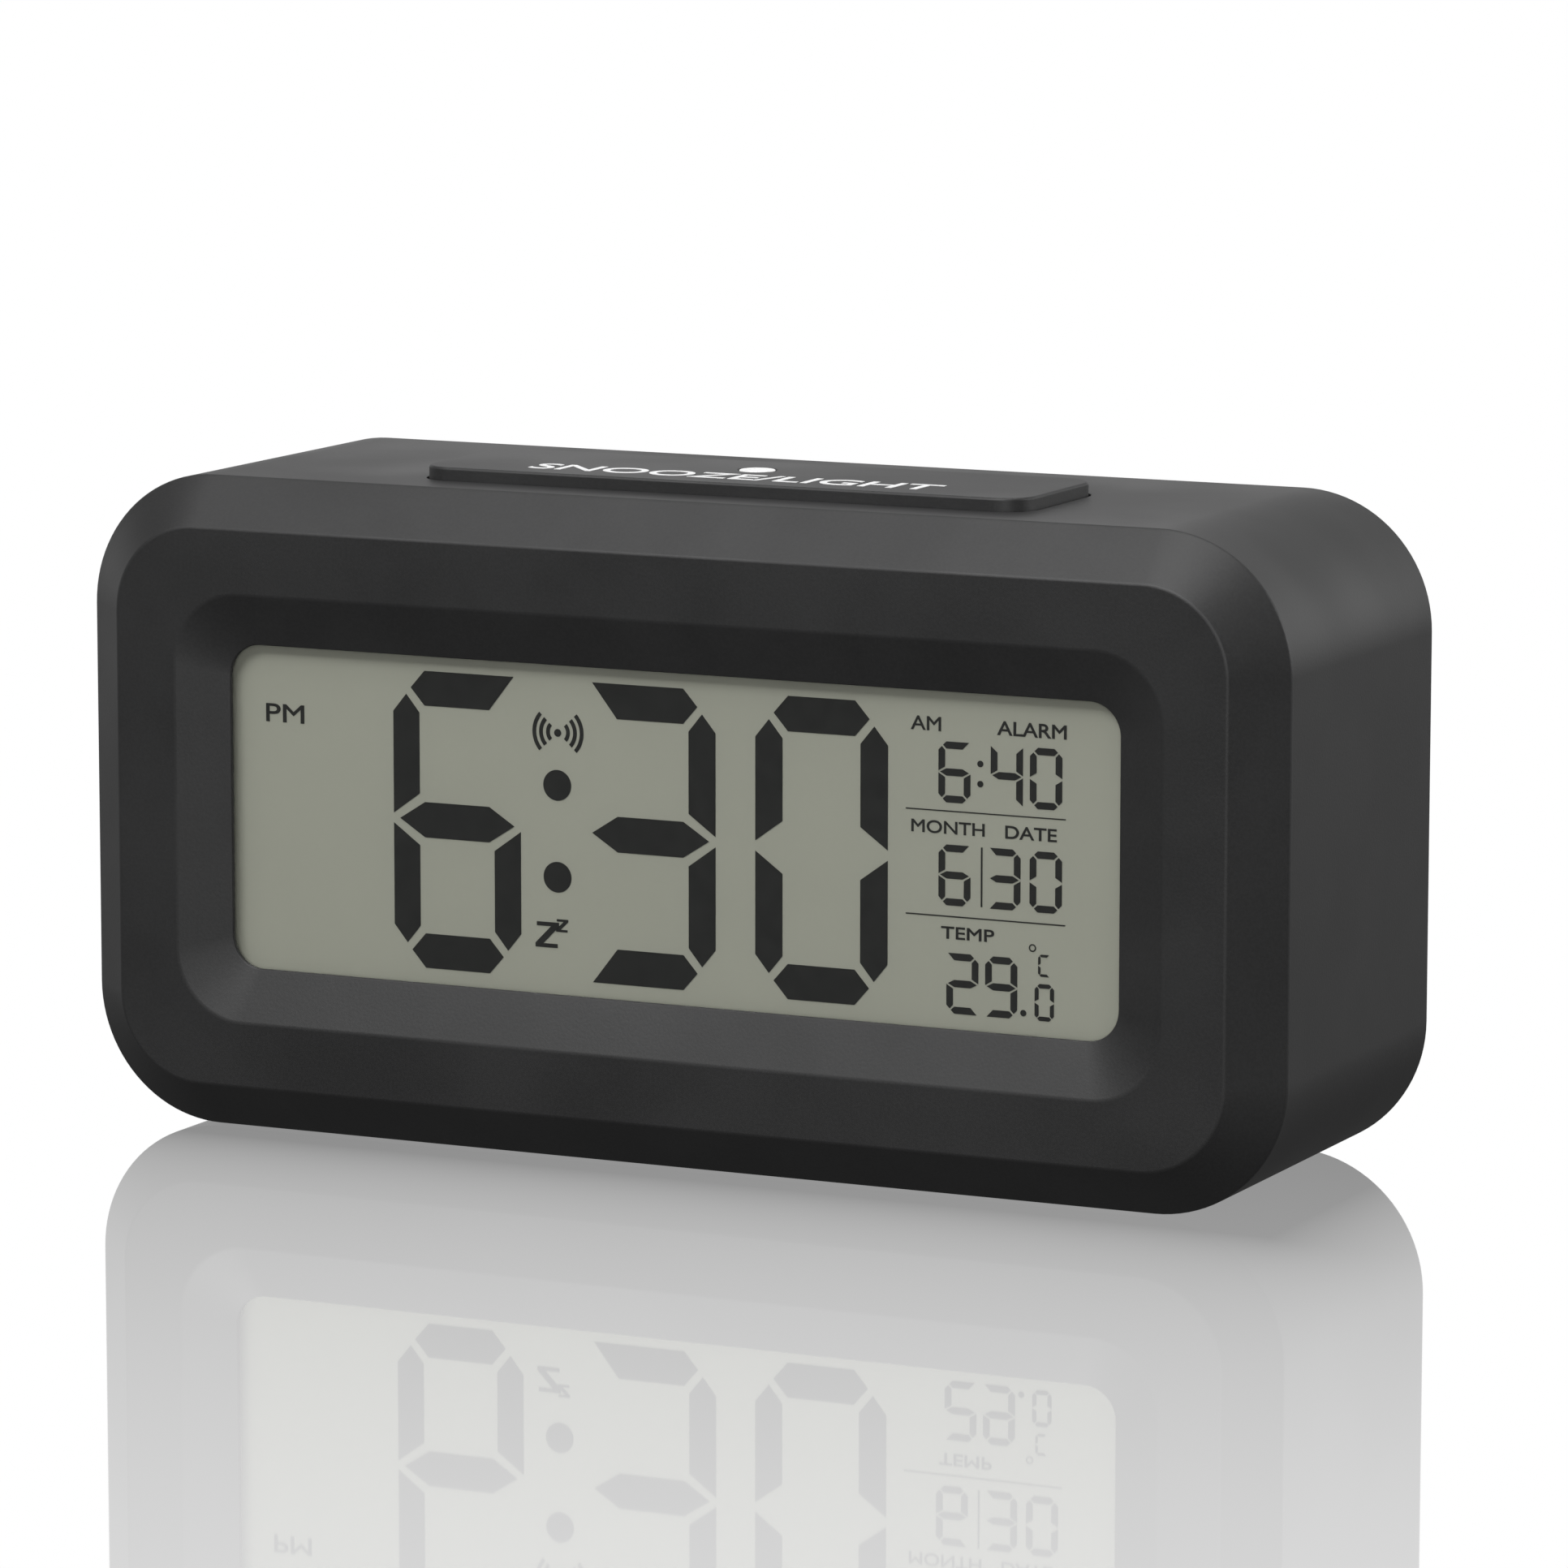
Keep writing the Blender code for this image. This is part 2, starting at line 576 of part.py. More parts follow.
def case_shell():
    """Frame, sloped recess and walls in one moulding of even wall, open at the back."""
    slope = CHAMFER_BACK / CHAMFER_IN
    slope_length = math.hypot(CHAMFER_IN, CHAMFER_BACK)
    offset_in = CASE_WALL * CHAMFER_BACK / slope_length
    offset_y = CASE_FRONT + CHAMFER_BACK + CASE_WALL * CHAMFER_IN / slope_length
    wall_meets_slope = offset_y - (CASE_WALL - offset_in) * slope
    face_meets_slope = offset_in + (offset_y - FACE_INNER) / slope
    sections = [
        case_section(CASE_BACK, 0.0, CASE_CORNER),
        case_section(CASE_FRONT + CHAMFER_BACK, 0.0, CASE_CORNER),
        case_section(CASE_FRONT, CHAMFER_IN, CASE_CORNER - CHAMFER_IN),
        case_section(CASE_FRONT, CHAMFER_IN + FACE_BORDER, RECESS_CORNER),
        case_section(CASE_FRONT + RECESS_DEPTH, WINDOW_INSET, WINDOW_CORNER),
        case_section(FACE_INNER, WINDOW_INSET, WINDOW_CORNER),
        case_section(FACE_INNER, face_meets_slope, CASE_CORNER - face_meets_slope),
        case_section(wall_meets_slope, CASE_WALL, CASE_CORNER - CASE_WALL),
        case_section(CASE_BACK, CASE_WALL, CASE_CORNER - CASE_WALL),
    ]
    return closed_loft("front_case", BLACK_PAINT, sections)


def foot_places():
    for end, level in ((-1, "front"), (1, "rear")):
        for side, sign in SIDES.items():
            x = sign * (CASE_WIDTH / 2 - FOOT_INSET_X)
            yield f"{level}_{side}", x, end * (CASE_DEPTH / 2 - FOOT_INSET_Y)


def front_case():
    """The case with its screw bosses, the top bar's opening, its board's stakes and the foot seats."""
    case = case_shell()
    bosses, cuts = [], []
    for sign in SIDES.values():
        for z in COVER_BOSS_Z:
            x = sign * COVER_BOSS_X
            depth = COVER_SCREW_LENGTH + PILOT_SPARE
            foot = (x, BOSS_ROOT, z)
            bosses.append(rod("cover_boss", None, foot, COVER_BOSS_RADIUS, COVER_SEAT - BOSS_ROOT, "+Y"))
            cuts.append(rod("cover_pilot", None, (x, COVER_SEAT - depth, z), PILOT_RADIUS, 2 * depth, "+Y"))
        x = sign * BOARD_BOSS_X
        foot = (x, BOSS_ROOT, BOARD_MID_Z)
        bosses.append(rod("board_boss", None, foot, BOARD_BOSS_RADIUS, BOARD_SEAT - BOSS_ROOT, "+Y"))
        mouth = (x, ON_BOARD - BOARD_SCREW_LENGTH - PILOT_SPARE, BOARD_MID_Z)
        cuts.append(rod("board_pilot", None, mouth, PILOT_RADIUS, 2 * BOARD_SCREW_LENGTH, "+Y"))
        foot = (BAR_X + sign * SNOOZE_BOSS_SPREAD, BAR_Y, WALL_TOP + CASE_WALL / 2)
        seat = SNOOZE_BOARD_TOP + FIT_GAP
        tip = SNOOZE_BOARD_BOTTOM - STAKE_LENGTH
        bosses.append(rod("snooze_boss", None, foot, BOSS_RADIUS, foot[2] - seat, "-Z"))
        bosses.append(rod("snooze_stake", None, foot, STAKE_RADIUS, foot[2] - tip, "-Z", 12))
    for _, x, y in foot_places():
        cuts.append(rod("foot_seat", None, (x, y, 0), FOOT_RADIUS + FIT_GAP, CASE_BOTTOM + FOOT_SUNK))
    opening = round_rectangle(
        BAR_WIDTH / 2 + SLIDE_GAP, BAR_DEPTH / 2 + SLIDE_GAP, BAR_CORNER + SLIDE_GAP, 5
    )
    cuts.append(sheet("bar_opening", None, opening, 4 * CASE_WALL, (BAR_X, BAR_Y, CASE_TOP)))
    join(case, bosses)
    cut(case, cuts)


def feet():
    """Thin soft pads stuck in shallow seats under the case."""
    height = FOOT_PROUD + FOOT_SUNK - FIT_GAP
    profile = [
        (0.0, height),
        (FOOT_RADIUS, height),
        (FOOT_RADIUS, FOOT_EDGE),
        (FOOT_RADIUS - FOOT_EDGE, 0.0),
        (0.0, 0.0),
    ]
    for where, x, y in foot_places():
        turned(f"foot_{where}", BLACK_RUBBER, profile, (x, y, 0.0))


# ---------------------------------------------------------------- display
def display():
    """Clear window, LCD glass, edge-lit guide, reflector and the frame that holds them together."""
    middle = (LCD_TOP + GUIDE_BOTTOM) / 2
    lens = round_rectangle(LCD_HALF_X, (LCD_TOP - GUIDE_BOTTOM) / 2, WINDOW_CORNER, 4)
    centre = (0, (LENS_FRONT + LENS_BACK) / 2, middle)
    sheet("display_lens", CLEAR_PLASTIC, lens, LENS_THICKNESS, centre, FLAT_IN_XZ)
    block("lcd_panel", LCD_GREY, (-LCD_HALF_X, LCD_FRONT, LCD_BOTTOM), (LCD_HALF_X, LCD_BACK, LCD_TOP))

    board_x = LCD_HALF_X - LED_BOARD_THICKNESS
    led_right = board_x - FIT_GAP
    led_left = led_right - LED_DEPTH
    guide_right = led_left - FIT_GAP
    left = -LCD_HALF_X
    guide_low, guide_high = (left, GUIDE_FRONT, GUIDE_BOTTOM), (guide_right, GUIDE_BACK, LCD_TOP)
    block("light_guide", CLEAR_PLASTIC, guide_low, guide_high)
    block(
        "reflector_sheet",
        WHITE_FILM,
        (left, REFLECTOR_FRONT, GUIDE_BOTTOM),
        (guide_right, REFLECTOR_BACK, LCD_TOP),
    )
    block(
        "backlight_led",
        MILK_PLASTIC,
        (led_left, GUIDE_MID_Y - LED_WIDTH / 2, middle - LED_HEIGHT / 2),
        (led_right, GUIDE_MID_Y + LED_WIDTH / 2, middle + LED_HEIGHT / 2),
    )
    block(
        "backlight_board",
        BOARD_GREEN,
        (board_x, GUIDE_FRONT, middle - LED_BOARD_HEIGHT / 2),
        (LCD_HALF_X, GUIDE_BACK, middle + LED_BOARD_HEIGHT / 2),
    )

    inner_x = LCD_HALF_X + FIT_GAP
    inner_low = LCD_BOTTOM - FIT_GAP
    inner_high = LCD_TOP + FIT_GAP
    frame = block(
        "lcd_frame",
        NATURAL_PLASTIC,
        (-inner_x - FRAME_WALL, LENS_FRONT, inner_low - FRAME_WALL),
        (inner_x + FRAME_WALL, FRAME_BACK, inner_high + FRAME_WALL),
    )
    pocket = block(
        "frame_pocket",
        None,
        (-inner_x, LENS_FRONT - FRAME_WALL, inner_low),
        (inner_x, FRAME_FLOOR_FRONT, inner_high),
    )
    strip_low = LCD_BOTTOM + ZEBRA_RAISE
    strip_high = strip_low + ZEBRA_HEIGHT
    slot = block(
        "zebra_slot",
        None,
        (-WINDOW_HALF_X - FIT_GAP, FRAME_FLOOR_FRONT - FRAME_FLOOR, strip_low - FIT_GAP),
        (WINDOW_HALF_X + FIT_GAP, FRAME_BACK + FRAME_FLOOR, strip_high + FIT_GAP),
    )
    cut(frame, [pocket, slot])
    block(
        "zebra_strip",
        CONDUCTIVE_RUBBER,
        (-WINDOW_HALF_X, LCD_BACK + CLOSE_GAP, strip_low),
        (WINDOW_HALF_X, BOARD_FRONT - CLOSE_GAP, strip_high),
    )


# ---------------------------------------------------------------- main board
def screw(name, seat, length):
    """A pan-head self-tapping screw. Its head rests at seat and its point is towards the front."""
    profile = [
        (0.0, HEAD_HEIGHT),
        (HEAD_RADIUS * 0.62, HEAD_HEIGHT),
        (HEAD_RADIUS * 0.92, HEAD_HEIGHT * 0.7),
        (HEAD_RADIUS, HEAD_HEIGHT * 0.3),
        (HEAD_RADIUS, 0.0),
        (SHANK_RADIUS, 0.0),
        (SHANK_RADIUS, SHANK_POINT - length),
        (0.0, -length),
    ]
    obj = turned(name, STEEL, profile, seat, "+Y", 16)
    x, y, z = seat
    floor = y + HEAD_HEIGHT - CROSS_DEPTH
    arms = []
    for reach_x, reach_z in ((CROSS_REACH, CROSS_WIDTH / 2), (CROSS_WIDTH / 2, CROSS_REACH)):
        low = (x - reach_x, floor, z - reach_z)
        arms.append(block("cross_slot", None, low, (x + reach_x, y + 2 * HEAD_HEIGHT, z + reach_z)))
    cut(obj, arms)


def main_board():
    """The clock's circuit behind the display, held by a screw at each end."""
    low, high = BOARD_MID_Z - BOARD_HEIGHT / 2, BOARD_MID_Z + BOARD_HEIGHT / 2
    board = block(
        "main_board", BOARD_GREEN, (-BOARD_HALF_X, BOARD_FRONT, low), (BOARD_HALF_X, BOARD_BACK, high)
    )
    cuts = []
    room = COVER_BOSS_RADIUS + 2 * SLIDE_GAP
    for side, sign in SIDES.items():
        x = sign * BOARD_BOSS_X
        foot = (x, BOARD_FRONT - BOARD_THICKNESS, BOARD_MID_Z)
        cuts.append(rod("board_hole", None, foot, PILOT_RADIUS + SLIDE_GAP, 3 * BOARD_THICKNESS, "+Y"))
        screw(f"board_screw_{side}", (x, ON_BOARD, BOARD_MID_Z), BOARD_SCREW_LENGTH)
        low_x, high_x = sorted((sign * (COVER_BOSS_X - room), sign * (COVER_BOSS_X + 2 * room)))
        for z in COVER_BOSS_Z:
            notch_low = (low_x, BOARD_FRONT - BOARD_THICKNESS, z - room)
            notch_high = (high_x, BOARD_BACK + BOARD_THICKNESS, z + room)
            cuts.append(block("boss_notch", None, notch_low, notch_high))
    cut(board, cuts)

    dome = ((0.45, 0.88), (0.8, 0.5), (1.0, 0.0))
    profile = [(0.0, CHIP_HEIGHT), *((CHIP_RADIUS * r, CHIP_HEIGHT * h) for r, h in dome), (0.0, 0.0)]
    turned("clock_chip", EPOXY, profile, (CHIP_X, ON_BOARD, BOARD_MID_Z), "+Y")
    foot = (CRYSTAL_X, ON_BOARD + CRYSTAL_RADIUS, BOARD_MID_Z)
    rod("quartz_crystal", STEEL, foot, CRYSTAL_RADIUS, CRYSTAL_LENGTH, "+X")


# ---------------------------------------------------------------- push switches
def push_switch(name, foot, turn):
    """A square switch body standing on foot, with a round bore that faces along turn."""
    axis = {"+Z": Vector((0, 0, 1)), "+Y": Vector((0, 1, 0))}[turn]
    foot = Vector(foot)
    across = (Vector((1, 1, 1)) - axis) * SWITCH_SIDE / 2
    body = block(name, BLACK_PLASTIC, foot - across, foot + across + axis * SWITCH_HEIGHT)
    mouth = foot + axis * (SWITCH_HEIGHT - SWITCH_BORE_DEPTH)
    cut(body, [rod("stem_bore", None, mouth, STEM_RADIUS + SLIDE_GAP, 2 * SWITCH_BORE_DEPTH, turn)])


def push_stem(name, top, turn, travel):
    """The stem that the switch's dome holds up. Its foot clears the bore's floor by the travel."""
    length = STEM_PROUD + SWITCH_BORE_DEPTH - travel - SLIDE_GAP
    profile = [
        (0.0, 0.0),
        (STEM_RADIUS - STEM_EDGE, 0.0),
        (STEM_RADIUS, -STEM_EDGE),
        (STEM_RADIUS, -length),
        (0.0, -length),
    ]
    return turned(name, NATURAL_PLASTIC, profile, top, turn, 16)


# ---------------------------------------------------------------- top bar
def bar_sheet(name, look, grow, top, bottom, corner):
    outline = round_rectangle(BAR_WIDTH / 2 + grow, BAR_DEPTH / 2 + grow, corner, 5)
    return sheet(name, look, outline, top - bottom, (BAR_X, BAR_Y, (top + bottom) / 2))


def snooze_button():
    """The hollow bar, its flange under the case's wall, its plungers and the light window in it."""
    inside_flange = (BAR_FLANGE_TOP + BAR_FLANGE_BOTTOM) / 2
    bar = bar_sheet("snooze_button", BLACK_PAINT, 0.0, BAR_TOP, inside_flange, BAR_CORNER)
    flange = bar_sheet(
        "bar_flange", None, BAR_FLANGE, BAR_FLANGE_TOP, BAR_FLANGE_BOTTOM, BAR_CORNER + BAR_FLANGE
    )
    hollow = bar_sheet(
        "bar_hollow", None, -BAR_ROOF, BAR_CEILING, BAR_FLANGE_BOTTOM - BAR_ROOF, BAR_CORNER - BAR_ROOF
    )
    foot = (WINDOW_DOT_X, WINDOW_DOT_Y, BAR_CEILING - BAR_ROOF)
    hole = rod("dot_hole", None, foot, WINDOW_DOT_RADIUS + CLOSE_GAP, 3 * BAR_ROOF, "+Z", 24)
    plungers, stems = [], []
    for side, sign in SIDES.items():
        x = BAR_X + sign * SNOOZE_SWITCH_SPREAD
        low = SNOOZE_STEM_TOP + CLOSE_GAP
        high = BAR_CEILING + BAR_ROOF / 2
        plungers.append(rod("bar_plunger", None, (x, BAR_Y, low), BAR_PLUNGER_RADIUS, high - low))
        stems.append(push_stem(f"snooze_stem_{side}", (x, BAR_Y, SNOOZE_STEM_TOP), "+Z", BAR_TRAVEL))
    join(bar, [flange])
    cut(bar, [hollow, hole])
    join(bar, plungers)
    foot = (WINDOW_DOT_X, WINDOW_DOT_Y, BAR_TOP - WINDOW_DOT_LENGTH)
    dot = rod("sensor_window", MILK_PLASTIC, foot, WINDOW_DOT_RADIUS, WINDOW_DOT_LENGTH, "+Z", 24)
    fix_to(bar, dot, *stems)


def snooze_board():
    """The small board under the bar, with a switch near each end and the light sensor between."""
    half_x, half_y = SNOOZE_BOARD_WIDTH / 2, SNOOZE_BOARD_DEPTH / 2
    board = block(
        "snooze_board",
        BOARD_GREEN,
        (BAR_X - half_x, BAR_Y - half_y, SNOOZE_BOARD_BOTTOM),
        (BAR_X + half_x, BAR_Y + half_y, SNOOZE_BOARD_TOP),
    )
    holes = []
    for side, sign in SIDES.items():
        foot = (BAR_X + sign * SNOOZE_BOSS_SPREAD, BAR_Y, SNOOZE_BOARD_BOTTOM - BOARD_THICKNESS)
        holes.append(rod("stake_hole", None, foot, STAKE_RADIUS + SLIDE_GAP, 3 * BOARD_THICKNESS))
        push_switch(
            f"snooze_switch_{side}", (BAR_X + sign * SNOOZE_SWITCH_SPREAD, BAR_Y, ON_SNOOZE_BOARD), "+Z"
        )
    cut(board, holes)
    profile = [
        (0.0, LIGHT_SENSOR_HEIGHT),
        (LIGHT_SENSOR_RADIUS - LIGHT_SENSOR_EDGE, LIGHT_SENSOR_HEIGHT),
        (LIGHT_SENSOR_RADIUS, LIGHT_SENSOR_HEIGHT - LIGHT_SENSOR_EDGE),
        (LIGHT_SENSOR_RADIUS, 0.0),
        (0.0, 0.0),
    ]
    turned("light_sensor", SENSOR_CERAMIC, profile, (WINDOW_DOT_X, WINDOW_DOT_Y, ON_SNOOZE_BOARD), "+Z", 16)


# ---------------------------------------------------------------- rear cover
def key_x(index):
    return KEY_FIRST_X + index * KEY_PITCH


def cell_z(index):
    return BAY_MID_Z + (index - (CELL_COUNT - 1) / 2) * CELL_PITCH


def cover_hole(name, x, z, radius, sides=16):
    return rod(name, None, (x, BEFORE_COVER, z), radius, BEHIND_COVER - BEFORE_COVER, "+Y", sides)


def bay_cuts():
    """What is hollow in the battery bay: the cells' room, the door's seat and what the door needs."""
    low_z, high_z = BAY_MID_Z - BAY_HALF_Z, BAY_TOP
    bay = block("bay", None, (-BAY_HALF_X, BAY_FLOOR, low_z), (BAY_HALF_X, BEHIND_COVER, high_z))
    seat_front = DOOR_INNER - FIT_GAP
    seat = sheet(
        "door_seat",
        None,
        round_rectangle(DOOR_HALF_X + SLIDE_GAP, DOOR_HALF_Z + SLIDE_GAP, DOOR_CORNER + SLIDE_GAP, 4),
        BEHIND_COVER - seat_front,
        (0, (BEHIND_COVER + seat_front) / 2, BAY_MID_Z),
        FLAT_IN_XZ,
    )
    cuts = [bay, seat]
    deep = TAB_FRONT - TAB_SWING_ROOM
    for sign in SIDES.values():
        low_x = sign * TAB_SPREAD - TAB_WIDTH / 2 - SLIDE_GAP
        high_x = sign * TAB_SPREAD + TAB_WIDTH / 2 + SLIDE_GAP
        toe_low = (low_x, deep, DOOR_BOTTOM - TAB_REACH - SLIDE_GAP)
        cuts.append(block("tab_toe_room", None, toe_low, (high_x, COVER_INNER + FIT_GAP, DOOR_BOTTOM)))
        root_low = (low_x, deep, DOOR_BOTTOM - SLIDE_GAP)
        cuts.append(block("tab_root_room", None, root_low, (high_x, BEHIND_COVER, low_z + BAY_WALL)))
    half = LATCH_WIDTH / 2 + LATCH_SLOT
    notch_low = (-half, DOOR_INNER - NOTCH_DEEP, high_z - BAY_WALL)
    cuts.append(block("latch_notch", None, notch_low, (half, BEHIND_COVER, DOOR_TOP + NOTCH_DEPTH)))
    for sign, index in ((1, 0), (-1, CELL_COUNT - 1)):
        middle = sign * (BAY_HALF_X - TAIL_SLOT_DEPTH / 2)
        half = TAIL_WIDTH / 2 + SLIDE_GAP
        low = (middle - TAIL_SLOT_DEPTH / 2, BAY_FLOOR - 2 * BAY_WALL, cell_z(index) - half)
        high = (middle + TAIL_SLOT_DEPTH / 2, BAY_FLOOR + BAY_WALL, cell_z(index) + half)
        cuts.append(block("tail_slot", None, low, high))
    return cuts


def control_cuts():
    """Holes for the keys, the slide switch, the buzzer's sound and the air for the sensor."""
    hole_radius = KEY_RADIUS + SLIDE_GAP
    cuts = [cover_hole("key_hole", key_x(i), KEY_ROW_Z, hole_radius, 24) for i in range(len(KEY_NAMES))]
    reach_x = (SLIDER_POST_WIDTH + SLIDER_TRAVEL) / 2 + SLIDE_GAP
    reach_z = SLIDER_POST_HEIGHT / 2 + SLIDE_GAP
    low = (SLIDER_X - reach_x, BEFORE_COVER, KEY_ROW_Z - reach_z)
    cuts.append(block("slider_slot", None, low, (SLIDER_X + reach_x, BEHIND_COVER, KEY_ROW_Z + reach_z)))
    cuts.append(cover_hole("grille_hole", BUZZER_X, KEY_ROW_Z, GRILLE_HOLE_RADIUS, 10))
    for i in range(GRILLE_RING_COUNT):
        angle = 2 * math.pi * i / GRILLE_RING_COUNT
        x = BUZZER_X + GRILLE_RING_RADIUS * math.cos(angle)
        z = KEY_ROW_Z + GRILLE_RING_RADIUS * math.sin(angle)
        cuts.append(cover_hole("grille_hole", x, z, GRILLE_HOLE_RADIUS, 10))
    for i in range(VENT_SLOTS):
        z = VENT_Z + (i - (VENT_SLOTS - 1) / 2) * VENT_PITCH
        low = (VENT_X - VENT_WIDTH / 2, BEFORE_COVER, z - VENT_HEIGHT / 2)
        high = (VENT_X + VENT_WIDTH / 2, BEHIND_COVER, z + VENT_HEIGHT / 2)
        cuts.append(block("vent_slot", None, low, high))
    return cuts


def rear_cover():
    """The back plate with the battery bay moulded in, held by four screws."""
    inset = CASE_WALL + FIT_GAP
    outline = round_rectangle(CASE_WIDTH / 2 - inset, CASE_HEIGHT / 2 - inset, CASE_CORNER - inset)
    centre = (0, COVER_MID, CASE_MID_Z)
    cover = sheet("rear_cover", BLACK_PLASTIC, outline, COVER_THICKNESS, centre, FLAT_IN_XZ)

    tray_x, tray_z = BAY_HALF_X + BAY_WALL, BAY_HALF_Z + BAY_WALL
    ledge_x, ledge_z = DOOR_HALF_X + BAY_WALL, DOOR_HALF_Z + BAY_WALL
    ledge_front = DOOR_INNER - DOOR_LEDGE_DEPTH
    tray_low = (-tray_x, BAY_FLOOR - BAY_WALL, BAY_MID_Z - tray_z)
    ledge_low = (-ledge_x, ledge_front, BAY_MID_Z - ledge_z)
    adds = [
        block("tray_walls", None, tray_low, (tray_x, COVER_MID, BAY_MID_Z + tray_z)),
        block("door_ledge", None, ledge_low, (ledge_x, COVER_MID, BAY_MID_Z + ledge_z)),
    ]
    stake_tip = KEY_BOARD_FRONT - STAKE_LENGTH
    for x in KEY_POST_X:
        post_foot = (x, ON_KEY_BOARD, KEY_ROW_Z)
        stake_foot = (x, stake_tip, KEY_ROW_Z)
        adds.append(rod("key_board_post", None, post_foot, BOSS_RADIUS, COVER_MID - ON_KEY_BOARD, "+Y"))
        adds.append(rod("key_board_stake", None, stake_foot, STAKE_RADIUS, COVER_MID - stake_tip, "+Y", 12))
    join(cover, adds)

    cuts = bay_cuts() + control_cuts()
    for side, sign in SIDES.items():
        for z, level in zip(COVER_BOSS_Z, ("lower", "upper")):
            x = sign * COVER_BOSS_X
            floor = COVER_OUTER - HEAD_SINK
            cuts.append(cover_hole("screw_hole", x, z, PILOT_RADIUS + SLIDE_GAP))
            head_room = HEAD_RADIUS + SLIDE_GAP
            cuts.append(rod("head_sink", None, (x, floor, z), head_room, BEHIND_COVER - floor, "+Y", 20))
            screw(f"cover_screw_{level}_{side}", (x, floor + CLOSE_GAP, z), COVER_SCREW_LENGTH)
    cut(cover, cuts)

    ribs = []
    half_x = BAY_HALF_X - RIB_SHORT
    for index in range(CELL_COUNT - 1):
        z = (cell_z(index) + cell_z(index + 1)) / 2
        low = (-half_x, BAY_FLOOR - BAY_WALL / 2, z - RIB_THICKNESS / 2)
        ribs.append(block("cell_rib", None, low, (half_x, BAY_FLOOR + RIB_HEIGHT, z + RIB_THICKNESS / 2)))
    join(cover, ribs)


# ---------------------------------------------------------------- rear keys
def rear_keys():
    """Round keys through the cover, each over a push switch, and the board that carries them."""
    low = (KEY_BOARD_LEFT, KEY_BOARD_FRONT, KEY_BOARD_LOW)
    high = (KEY_BOARD_RIGHT, KEY_BOARD_BACK, KEY_BOARD_LOW + KEY_BOARD_HEIGHT)
    board = block("key_board", BOARD_GREEN, low, high)
    holes = []
    for x in KEY_POST_X:
        foot = (x, KEY_BOARD_FRONT - BOARD_THICKNESS, KEY_ROW_Z)
        holes.append(rod("stake_hole", None, foot, STAKE_RADIUS + SLIDE_GAP, 3 * BOARD_THICKNESS, "+Y"))
    cut(board, holes)

    foot_y = KEY_STEM_TOP + CLOSE_GAP
    top = COVER_OUTER + KEY_PROUD - foot_y
    flange_top, flange_bottom = KEY_FLANGE_BACK - foot_y, KEY_FLANGE_FRONT - foot_y
    profile = [
        (0.0, top),
        (KEY_RADIUS - KEY_EDGE, top),
        (KEY_RADIUS, top - KEY_EDGE),
        (KEY_RADIUS, flange_top),
        (KEY_RADIUS + KEY_FLANGE, flange_top),
        (KEY_RADIUS + KEY_FLANGE, flange_bottom),
        (KEY_PLUNGER_RADIUS, flange_bottom),
        (KEY_PLUNGER_RADIUS, 0.0),
        (0.0, 0.0),
    ]
    for index, name in enumerate(KEY_NAMES):
        x = key_x(index)
        key = turned(f"key_{name}", BLACK_RUBBER, profile, (x, foot_y, KEY_ROW_Z), "+Y", 24)
        stem = push_stem(f"key_stem_{name}", (x, KEY_STEM_TOP, KEY_ROW_Z), "+Y", KEY_TRAVEL)
        push_switch(f"key_switch_{name}", (x, ON_KEY_BOARD, KEY_ROW_Z), "+Y")
        fix_to(key, stem)


def slide_switch():
    """The night-light switch: a body on the key board and a post that reaches out through the cover."""
    half_x, half_z = SLIDER_BODY_WIDTH / 2, SLIDER_BODY_HEIGHT / 2
    back = ON_KEY_BOARD + SLIDER_BODY_DEPTH
    low = (SLIDER_X - half_x, ON_KEY_BOARD, KEY_ROW_Z - half_z)
    body = block("slide_switch_body", STEEL, low, (SLIDER_X + half_x, back, KEY_ROW_Z + half_z))
    reach_x = (SLIDER_POST_WIDTH + SLIDER_TRAVEL) / 2 + SLIDE_GAP
    reach_z = SLIDER_POST_HEIGHT / 2 + SLIDE_GAP
    low = (SLIDER_X - reach_x, back - SLIDER_BITE - SLIDE_GAP, KEY_ROW_Z - reach_z)
    cut(body, [block("slider_channel", None, low, (SLIDER_X + reach_x, 2 * back, KEY_ROW_Z + reach_z))])
    start = SLIDER_X - SLIDER_TRAVEL / 2
    low = (start - SLIDER_POST_WIDTH / 2, back - SLIDER_BITE, KEY_ROW_Z - SLIDER_POST_HEIGHT / 2)
    high = (start + SLIDER_POST_WIDTH / 2, COVER_OUTER + SLIDER_PROUD, KEY_ROW_Z + SLIDER_POST_HEIGHT / 2)
    block("slide_switch_knob", BLACK_PLASTIC, low, high)


def buzzer():
    profile = [
        (BUZZER_PORT_RADIUS, BUZZER_HEIGHT),
        (BUZZER_RADIUS, BUZZER_HEIGHT),
        (BUZZER_RADIUS, 0.0),
        (0.0, 0.0),
        (0.0, BUZZER_HEIGHT - BUZZER_PORT_DEPTH),
        (BUZZER_PORT_RADIUS, BUZZER_HEIGHT - BUZZER_PORT_DEPTH),
        (BUZZER_PORT_RADIUS, BUZZER_HEIGHT),
    ]
    turned("buzzer", BLACK_PLASTIC, profile, (BUZZER_X, ON_KEY_BOARD, KEY_ROW_Z), "+Y", 24)


